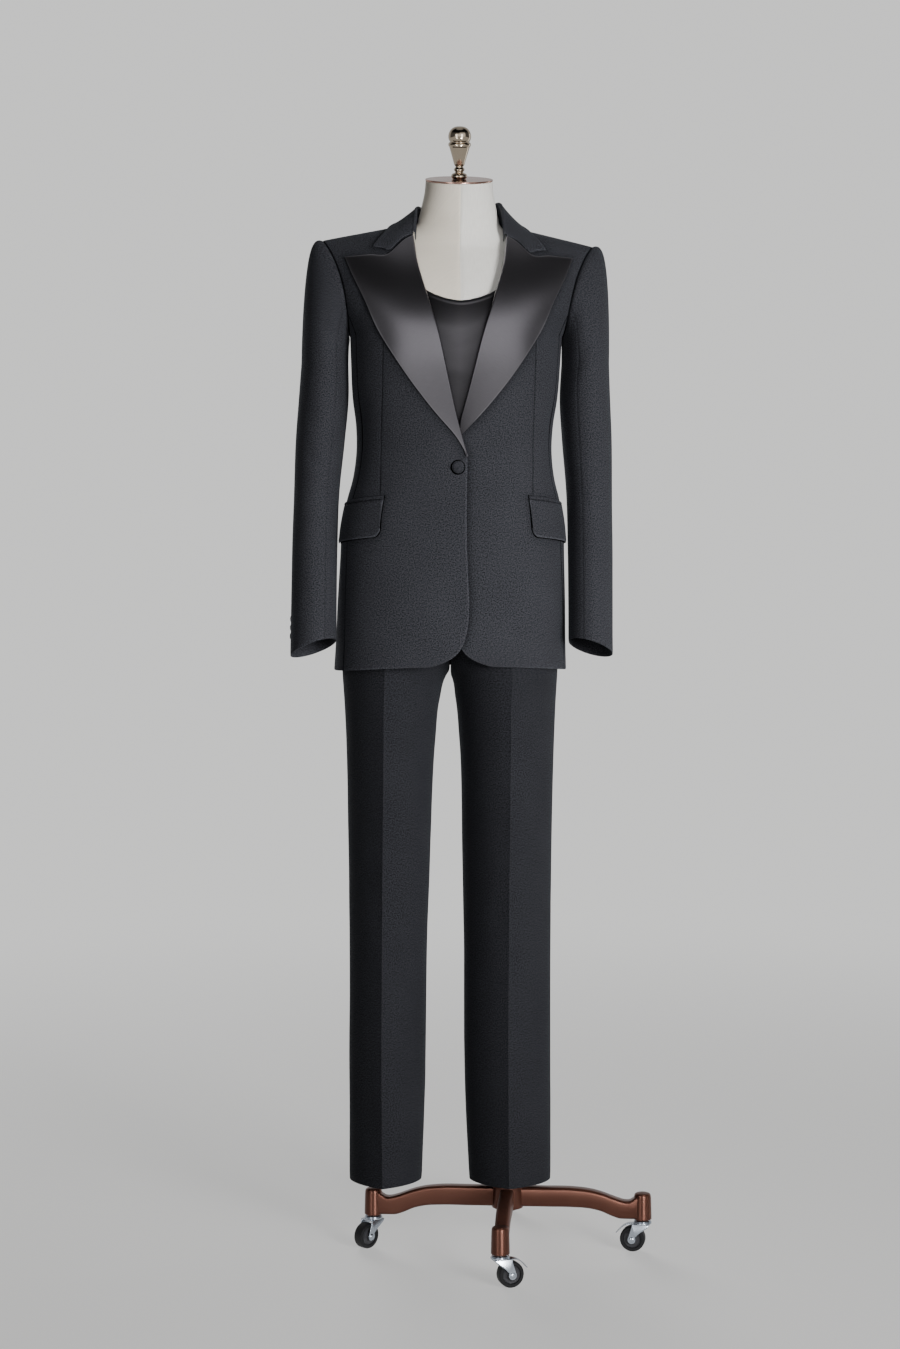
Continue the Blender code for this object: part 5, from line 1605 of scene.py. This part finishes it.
def top_piece(behind, u, v):
    """Columns from side to side, each running up to the neckline or the shoulder. The scoop is a power of the
    distance from the middle, and a steep eighth power takes it up to the straps."""
    most = REACH_BACK if behind else REACH_FRONT
    neck = TOP_BACK_NECK_Z if behind else TOP_NECK_Z

    def half_angle(level):
        strap = coat_angle(np.float64(TOP_STRAP_X), level, most)
        return between(math.pi / 2 - SEAM_ANGLE, strap, smooth(1.355, 1.50, level))

    across = 2 * u - 1
    x = abs(across) * TOP_STRAP_X
    scoop = neck + 0.0145 * (x / 0.05) ** 1.7 + 0.10 * (x / 0.09) ** 8
    top = np.minimum(coat_level(x, scoop), SHOULDER_Z - 0.0006)
    share = np.sign(across) * coat_angle(x, top, most) / half_angle(top)
    level = between(TOP_BOTTOM_Z, top, v)
    angle = share * half_angle(level) + (math.pi if behind else 0)
    return on_form(lifted(coat_skin, angle, level, -between(*TOP_LIFT, smooth(1.175, 1.27, level))))


TOP_CREASES = table(FOLD_COLUMNS, """
    -60 1405 10 1375 -0.7 8
    70 1400 0 1360 -0.8 9
    -30 1330 35 1322 0.7 10
    -12 1420 -5 1330 -0.5 9
""")
for part, behind in (("front", False), ("back", True)):
    points = top_piece(behind, *np.meshgrid(ruled(80, 0, 1), ruled(70, 0.985, reach=0.03)))
    first, last, low, high = edges(points)
    relief = dip(first) + dip(last) + bell(high, 0.0006, 0.0028, 0.0035)
    relief += dip(high, 0.0003, 0.0010) + dip(high - 0.0072, 0.0003, 0.0006)
    relief += creased(points[..., 0], points[..., 2], TOP_CREASES) + settled(points, 61 + behind)
    from_rolls = np.minimum(near(points, rolls["right"]), near(points, rolls["left"]))
    cloth(
        f"top_{part}_panel", points, relief, top_satin, f"top_{part}", shaded(high, 0.004, 0.5),
        shaded(from_rolls, 0.020, 0.75), wall=SATIN,
    )

# %% [markdown]
# ## Dress form
#
# The form is a stuffed body covered in linen, cut in a right and a left half that meet in the middle seam.
# The half away from the key light is painted a shade darker and warmer, so the material asks on which side
# of the seam a point lies. A flat metal cap closes the neck, with a turned finial on it, both tipped forward
# a little.

# %% Form, cap and finial
CAP_TILT = math.radians(13.5)
NECK_TOP_Z = 1.622

FORM = table("height half_width front back power", """
    940 136 86 98 2.1
    985 142 92 106 2.2
    1050 140 92 103 2.2
    1110 133 89 92 2.2
    1160 125 85 82 2.2
    1210 125.5 90 79 2.2
    1270 135 105 89 2.2
    1330 142 115 98 2.2
    1385 147 115 104 2.2
    1430 151 104 101 2.2
    1470 154 84 89 2.15
    1500 147 65 71 1.9
    1518 129 55 61 1.55
    1534 102 52.5 58 1.4
    1545 77 52.5 56.5 1.5
    1553 65 52.5 55.5 1.7
    1565 60.5 53 55 1.9
    1583 56.5 52 53.5 2
    1605 52.2 51.5 51.5 2
    1622 51 51 51 2
""", "power")


def form_skin(around, height):
    """Level sections from the hips to the neck, whose top rows tip forward."""
    depth = np.where(np.cos(around) >= 0, flow(FORM, "front", height), flow(FORM, "back", height))
    power = 2 / flow(FORM, "power", height)
    x = flow(FORM, "half_width", height) * powered(np.sin(around), power)
    y = -depth * powered(np.cos(around), power)
    tip = math.tan(CAP_TILT) * smooth(1.57, NECK_TOP_Z, height)
    roll = SHOULDER_ROLL * share_of(height, UNDERARM_Z, 1.55) * (1 - smooth(1.54, 1.58, height))
    return xyz(x, y, height + y * tip - x * roll)


def closed(points, shares=(0.0, 0.5, 0.93, 0.985)):
    """Closes both ends of a tube with rings that shrink to the middle of its first and last row."""
    low, high = ([between(row.mean(axis=0), row, share) for share in shares] for row in points[[0, -1]])
    return np.concatenate([low, points, high[::-1]])


# The plane of the middle seam: square to it, and its distance, from the form's turn and lean.
square = np.array([math.cos(FORM_TURN), math.sin(FORM_TURN), -FORM_LEAN * math.cos(FORM_TURN)])
seam = (*square, float(square @ -BOX_MIDDLE + FORM_LEAN * -HEM_Z * math.cos(FORM_TURN)))
# Painted shade: the wearer's right half of the form, away from the key light, is tinted darker and warmer.
linen = linen_finish("linen", "linen", (0.69, 0.67, 0.62), (0.90, 0.885, 0.84), (0.95, 0.89, 0.81), seam)

close = np.array([-0.05, -0.025, -0.012, -0.006, 0.006, 0.012, 0.025, 0.05])
around = np.linspace(0, 2 * math.pi, 96, endpoint=False)
around = np.unique(np.concatenate([around, close % (2 * math.pi), math.pi + close]).round(5))
around, height = np.meshgrid(around, joined((0.94, 1.49, 60), (1.49, NECK_TOP_Z, 70)))
points = on_form(form_skin(around, height))
radius = np.hypot(points[..., 0], points[..., 1])
from_seam = np.minimum(abs(np.sin(around / 2)), abs(np.cos(around / 2))) * 2 * radius
relief = dip(from_seam, 0.0005, 0.0011) + bell(from_seam, 0.0004, 0.0025, 0.004)
relief += np.sin(around * 5 + 1) * bell(height, 0.0005, 0.008, 1.556)
piece("form", closed(relieved(points, relief, wrap=True)), linen, "form_body", wrap=True, sharp=55)

turn, tilt = (np.array([math.cos(angle), math.sin(angle)]) for angle in (FORM_TURN, CAP_TILT))
tipped = np.array([
    [turn[0], turn[1], 0],
    [-turn[1] * tilt[0], turn[0] * tilt[0], tilt[1]],
    [turn[1] * tilt[1], -turn[0] * tilt[1], tilt[0]],
])
neck_top = on_form(np.array([0, 0, NECK_TOP_Z]))
cap = profile("0 0.2  46 0.2  50.5 0.2  51.5 0.6  51.5 2.6  50.9 3  46 3  0 3", 2)
piece("neck_cap", turned(cap, 96) @ tipped + neck_top, rose, "form_cap", wrap=True, sharp=40)
finial = profile("""
    0 3.2  9.5 3.2  10.4 3.6  10.6 4.5  12.1 6.2  12.4 7.8  11.8 9.8  10.5 11.2  8.8 12  6.4 13  6 14.2
    7.8 16  8.4 17.4  8 18.8  6.2 20.6  5.8 22.2  6.8 23.4  8 24.4  8.8 28  12.2 40  15.4 50.4  15.7 51.4
    16 52  17 53  17.3 55  17.1 56.8  16 58  14.8 58.8  15 59.8  16.6 62  17.6 66.4  16.8 72.2  14 77.6
    9.2 81.2  4 82.5  0 82.6
""", 2)
piece("finial", turned(finial, 72) @ tipped + neck_top, polished, "form_finial", wrap=True)

# %% [markdown]
# ## The rolling base
#
# Four cast arms leave a hub, run level, and sink towards a stub that holds a caster. An arm is a rounded
# bar: its section is a rectangle with round corners, and a table says how high its top and its underside
# are at each distance from the hub. The stub is turned, with a hollow for the caster's stem.

# %% Hub, arms, stubs and pole
STAND_X = 0.0874
STAND_TURN = math.radians(-4.2)
ARM_REACH = 0.2046
ARM_WIDTH = 0.021

ARM = table("out top under round", """
    5 95.5 66 5
    60 95.5 66 5
    100 95.2 66 5
    125 92.6 64.4 5
    142 88.6 60.6 5
    158 83 54 4.8
    170 78.8 50.3 4.6
    179 76.8 50 4.4
    187 77.8 50 4.4
    193 82.2 50 4.4
    199 85.2 50 4.4
    204 86 50 4.4
""")


def on_stand(points):
    return turned_about(points, STAND_TURN, (STAND_X, 0, 0))


def arm_end(direction):
    return ARM_REACH * math.cos(direction), ARM_REACH * math.sin(direction), 0


def rounded_bar(out, half_width, top, under, round_):
    """A bar along +X: at each distance a rectangle whose corners are quarter circles of the given radius."""
    corner = np.linspace(0, math.pi / 2, 7)
    turn = np.concatenate([corner + quarter * math.pi / 2 for quarter in range(4)])
    right, high = np.repeat([1, -1, -1, 1], 7), np.repeat([1, 1, -1, -1], 7)
    y = right * (half_width - round_) + round_ * np.cos(turn)
    z = (top + under) / 2 + high * ((top - under) / 2 - round_) + round_ * np.sin(turn)
    return xyz(out, y, z)


out = np.linspace(0.005, 0.204, 70)[:, None]
section = (flow(ARM, column, out, "out") for column in ("top", "under", "round"))
arm = rounded_bar(out, ARM_WIDTH / 2, *section)
stub = profile("""
    0 66.4  4.4 66.4  4.6 66.2  4.6 49.2  4.8 49  12.6 49  13.6 49.2  13.8 50.4  13.1 79  12.9 82.8  12.1 86.6
    9.8 88.2  6 88.6  0 88.6
""", 2)
hub = profile("""
    0 63.5  22.5 63.5  23.8 64  24.2 66  24 93  23.4 96.5  21.5 98.5  15 99.2  13.6 99.2  13.4 98.5  0 98.5
""", 2)
cast = [turned(hub, 96)]
arm_names = ("left", "back", "right", "front")
directions = {name: math.pi - math.pi / 2 * number for number, name in enumerate(arm_names)}
for direction in directions.values():
    cast.append(turned_about(closed(arm, (0.0, 0.9)), direction))
    cast.append(turned_about(turned(stub, 48), direction, arm_end(direction)))
piece("rolling_base", [on_stand(points) for points in cast], copper, "stand_base", wrap=True, sharp=40)
pole = profile("0 98.8  12.5 98.8  12.5 500  12.5 939.7  0 939.7", 0)
piece("pole", on_stand(turned(pole, 64)), copper, "stand_pole", wrap=True, sharp=40)

# %% [markdown]
# ## Casters
#
# A caster is a stack of pressed zinc washers round a ball race, two side plates that narrow to the axle's
# riveted ends, and a rubber wheel on a grey hub. Every caster trails in its own direction, as they do once
# a stand has been pushed about, and two have a brake pedal. A plate is its outline, given a little
# thickness with rounded rims; the pedal is a strip bent over the wheel.

# %% Casters
CASTER_TRAIL = 0.015
WHEEL_RADIUS = 0.019
EYE_RADIUS = 0.006
FORK_HALF_WIDTH = 0.0115
PLATE = 0.0016
PEDAL = 0.0014
TRAILS = {"left": 225.0, "back": 120.0, "right": 166.5, "front": 18.5}
BRAKED = ("right", "front")


def plate(outline, thickness, rim=0.0003):
    """A flat plate across Y: the outline on both faces, drawn in a little at the rims, and closed to its
    middle."""
    middle = outline.mean(axis=0)
    inner = middle + (outline - middle) * (1 - rim / np.linalg.norm(outline - middle, axis=1).mean())
    half = thickness / 2
    rows = [(middle + 0 * outline, half), (inner, half), (outline, half - rim)]
    rows += [(row, -y) for row, y in rows[::-1]]
    return np.stack([xyz(row[:, 0], y, row[:, 1]) for row, y in rows])


def side_plate():
    """Wide under the washers, narrowing in a curve to a round eye about the axle."""
    turn = np.radians(np.linspace(35, -215, 24))
    eye = xyz(CASTER_TRAIL + EYE_RADIUS * np.cos(turn), WHEEL_RADIUS + EYE_RADIUS * np.sin(turn))
    back = eased([(0.0138, 0.0425), (0.0150, 0.0380), (0.0172, 0.0310), eye[0]], 2)
    front = eased([eye[-1], (0.0040, 0.0290), (-0.0050, 0.0350), (-0.0112, 0.0398), (-0.0112, 0.0425)], 2)
    return np.concatenate([back, eye[1:-1], front])


def bent_strip(path, width, thickness):
    """A strip that follows a path in X and Z, with a width for each of its steps and round corners."""
    ahead = unit(np.gradient(path, axis=0), keepdims=True)
    normal = xyz(-ahead[:, 1], ahead[:, 0])
    turn = np.linspace(0, 2 * math.pi, 28, endpoint=False)
    high = powered(np.sin(turn), 0.6) * thickness / 2
    face = path[:, None] + normal[:, None] * high[None, :, None]
    return xyz(face[..., 0], -width[:, None] / 2 * powered(np.cos(turn), 0.35), face[..., 1])


def across_wheel(points):
    """Lays a shape turned about the upright axis on its side, on the wheel's axle."""
    x, y, z = np.moveaxis(points, -1, 0)
    return xyz(x + CASTER_TRAIL, z, WHEEL_RADIUS - y)


head = profile("""
    0 40.9  11.2 40.9  12 41.2  12.4 42  13.4 42.4  13.7 43  13.7 44.6  13.4 45  12.6 45.2  12.4 45.5
    12.9 45.8  12.9 46.4  12.4 46.7  11.2 46.9  10.8 47.4  10.4 48.2  9.6 48.6  4.6 48.6  4.5 48.8
    4.5 64.5  4 65  0 65
""", 1)
rivet = profile("0 -14  2.6 -13.9  4 -13.2  4.2 -12.4  4.2 -11.8  2.7 -11.8  2.6 -11.6", 2, "mirrored")
tyre_ring = profile("12.8 -5.2  13.2 -7.6  14 -8.2  16.8 -8.2  18.3 -7.5  19 -5.6", 1, "ring")
hub_ring = profile("2.7 -8.4  5.2 -8.4  5.8 -7.8  6.2 -6.2  11 -5.8  12.4 -6.6  12.9 -6.4", 1, "ring")
pedal_path = profile("4.5 41.6  14 41.8  23 40.8  30 37.2  35.2 32  39.8 26.8", 3)
pedal_width = profile("15 0  15 0  14 0  13.2 0  12.6 0  10 0", 3)[:, 0]
bridge = rounded_bar(np.array([[-0.0112], [0.0138]]), 0.0121, 0.0425, 0.0409, 0.0006)
pressed = [turned(head, 48), across_wheel(turned(rivet, 28)), closed(bridge, (0.0, 0.9))]
pressed += [plate(side_plate(), PLATE) + (0, hand * FORK_HALF_WIDTH, 0) for hand in (-1, 1)]
pedal = closed(bent_strip(pedal_path, pedal_width, PEDAL), (0.0, 0.7, 0.93))


def set_under(name, part, grids, material, body, sharp, stands=True):
    """Turns a part to its caster's trail, under the end of its arm."""
    trail = math.radians(TRAILS[name]) - STAND_TURN
    grids = [on_stand(turned_about(points, trail, arm_end(directions[name]))) for points in grids]
    label = f"caster_{name}_{part}"
    node = label if stands else None
    piece(label, grids, material, node, wrap=True, sharp=sharp, body=f"{body}_{name}")


for name in arm_names:
    set_under(name, "fork", pressed + [pedal] * (name in BRAKED), zinc, "swivel", 40)
    set_under(name, "wheel", [across_wheel(turned(tyre_ring, 72))], tyre, "wheel", 50)
    set_under(name, "hub", [across_wheel(turned(hub_ring, 64))], hub_grey, "wheel", 40, stands=False)

# %% [markdown]
# ## Floor, light and camera
#
# A plain pale floor runs on into a pale backdrop. Every light is large and soft. The key stands to the
# front right and lights the plane to the right of each trouser crease, so that the crease reads; a low one
# lifts the legs, and a front and a back one fill. They light the cloth and stay out of its reflections.
# Four strips do the opposite: they are there for the metals alone, which show nothing else, and light
# linking keeps them off the satin. A rim light on the right draws the sleeve's edge.
#
# The world is pale to the camera. To a glossy surface it is a dim room, darker above than below, with two
# soft boxes that the satin shows, and the floor glows in it. To everything else it is nearly dark.

# %% Floor, light and camera
BACKDROP = (0.90, 0.90, 0.89, 1)
BOX_BELOW = 0.32
bpy.ops.mesh.primitive_plane_add(size=40, location=(0, 0, 0))
floor = bpy.context.object
floor.name = "floor"
floor_paint, tree, shader = new_material("floor_paint", Roughness=0.8)
path = put(tree, "LightPath").outputs
seen = path["Is Camera Ray"]
feed(tree, mixed(tree, seen, (0.10, 0.10, 0.10), (0.80, 0.79, 0.78)), shader["Base Color"])
place = put(tree, "TexCoord").outputs["Object"]
far = put(tree, "VectorMath", {0: place}, operation="LENGTH").outputs["Value"]
glow = put(tree, "Emission", {"Color": BACKDROP}).outputs[0]
share = more(tree, path["Is Glossy Ray"], 0.62, sums(tree, "MULTIPLY", ramp(tree, far, 0.3, 3.5, 0.5), seen))
painted = tree.nodes["Principled BSDF"].outputs[0]
mix = put(tree, "MixShader", {0: share, 1: painted, 2: glow})
feed(tree, mix.outputs[0], tree.nodes["Material Output"].inputs[0])
floor.data.materials.append(floor_paint)

metals = bpy.data.collections.new("metals")
for thing in bpy.context.scene.objects:
    if thing.active_material in (copper, zinc, polished, rose):
        metals.objects.link(thing)

# Place, aim, size, watts, spread in degrees, and whether the diffuse and the glossy part of a surface see it.
LIGHTS = {
    "key": ((2.3, -3.6, 1.5), (0.1, 0.0, 1.00), (1.2, 1.6), 22.0, 50, (True, False)),
    "low": ((2.4, -2.0, 0.8), (0.2, 0.0, 0.45), (0.8, 1.0), 2.2, 40, (True, False)),
    "front": ((-0.3, -4.6, 1.4), (0.0, 0.0, 1.10), (1.6, 1.6), 6.2, 50, (True, False)),
    "back": ((-1.2, 4.2, 2.0), (0.0, 0.0, 1.10), (2.4, 2.4), 34.0, 60, (True, False)),
    "right_strip": ((1.4, -3.4, 1.35), (0.0, 0.0, 1.35), (1.1, 2.7), 34.0, 180, (False, True)),
    "left_strip": ((-2.0, -3.2, 1.35), (0.0, 0.0, 1.35), (1.1, 2.7), 24.0, 180, (False, True)),
    "low_strip": ((0.80, -2.4, 0.35), (0.0, 0.0, 0.08), (0.45, 0.8), 38.0, 180, (False, True)),
    "left_low_strip": ((-1.3, -2.2, 0.35), (0.0, 0.0, 0.08), (0.25, 0.7), 5.0, 180, (False, True)),
    "right_rim": ((2.0, 1.3, 1.4), (0.0, 0.0, 1.0), (0.4, 2.0), 4.0, 180, (True, True)),
}
for name, (place, aim, size, power, spread, seen_by) in LIGHTS.items():
    data = bpy.data.lights.new(name, "AREA")
    data.shape = "RECTANGLE"
    data.size, data.size_y = size
    data.energy = power
    data.spread = math.radians(spread)
    lamp = bpy.data.objects.new(name, data)
    lamp.location = place
    lamp.visible_diffuse, lamp.visible_glossy = seen_by
    away = lamp.location - type(lamp.location)(aim)
    lamp.rotation_euler = away.to_track_quat("Z", "Y").to_euler()
    if name.endswith("strip"):
        lamp.light_linking.receiver_collection = metals
    bpy.context.scene.collection.objects.link(lamp)

# What shines in glossy surfaces: level directions, where each soft box begins and is full, how bright it is
# and how high it reaches.
SOFTBOXES = [
    ((0.50, -0.866, 0.0), 0.80, 0.96, 0.95, 0.66),
    ((-0.34, -0.94, 0.0), 0.84, 0.97, 1.10, 0.50),
]

world = bpy.data.worlds.new("studio")
bpy.context.scene.world = world
world.use_nodes = True
tree = world.node_tree
direction = put(tree, "TexCoord").outputs["Generated"]
parts = put(tree, "SeparateXYZ", {0: direction}).outputs
level = put(tree, "VectorMath", {0: direction, 1: (1.0, 1.0, 0.0)}, operation="MULTIPLY").outputs[0]
level = put(tree, "VectorMath", {0: level}, operation="NORMALIZE").outputs[0]
walls = more(tree, ramp(tree, parts[2], 0.66, 0.34), 0.10, 0.006)
for toward, start, full, bright, top in SOFTBOXES:
    box = ramp(tree, dot(tree, level, toward), start, full, 0.0, bright)
    walls = more(tree, box, ramp(tree, parts[2], top, top - BOX_BELOW), walls)
for part, start, full, bright in ((parts[1], 0.15, 0.50, 0.45), (parts[2], 0.91, 0.97, 0.35)):
    walls = sums(tree, "ADD", walls, ramp(tree, part, start, full, 0.0, bright, "LINEAR"))
path = put(tree, "LightPath").outputs
dim = put(tree, "Mix", {"Factor": path["Is Glossy Ray"], 2: 0.05, 3: walls}).outputs[0]
feed(tree, mixed(tree, path["Is Camera Ray"], dim, BACKDROP), tree.nodes["Background"].inputs[0])

lens = bpy.data.cameras.new("camera")
lens.sensor_width = 36
lens.lens = 67.6
lens.shift_y = -0.096
camera = bpy.data.objects.new("camera", lens)
camera.location = (-0.0322, -3.8585, 1.069)
camera.rotation_euler = (math.pi / 2, 0, 0)
bpy.context.scene.collection.objects.link(camera)
bpy.context.scene.camera = camera
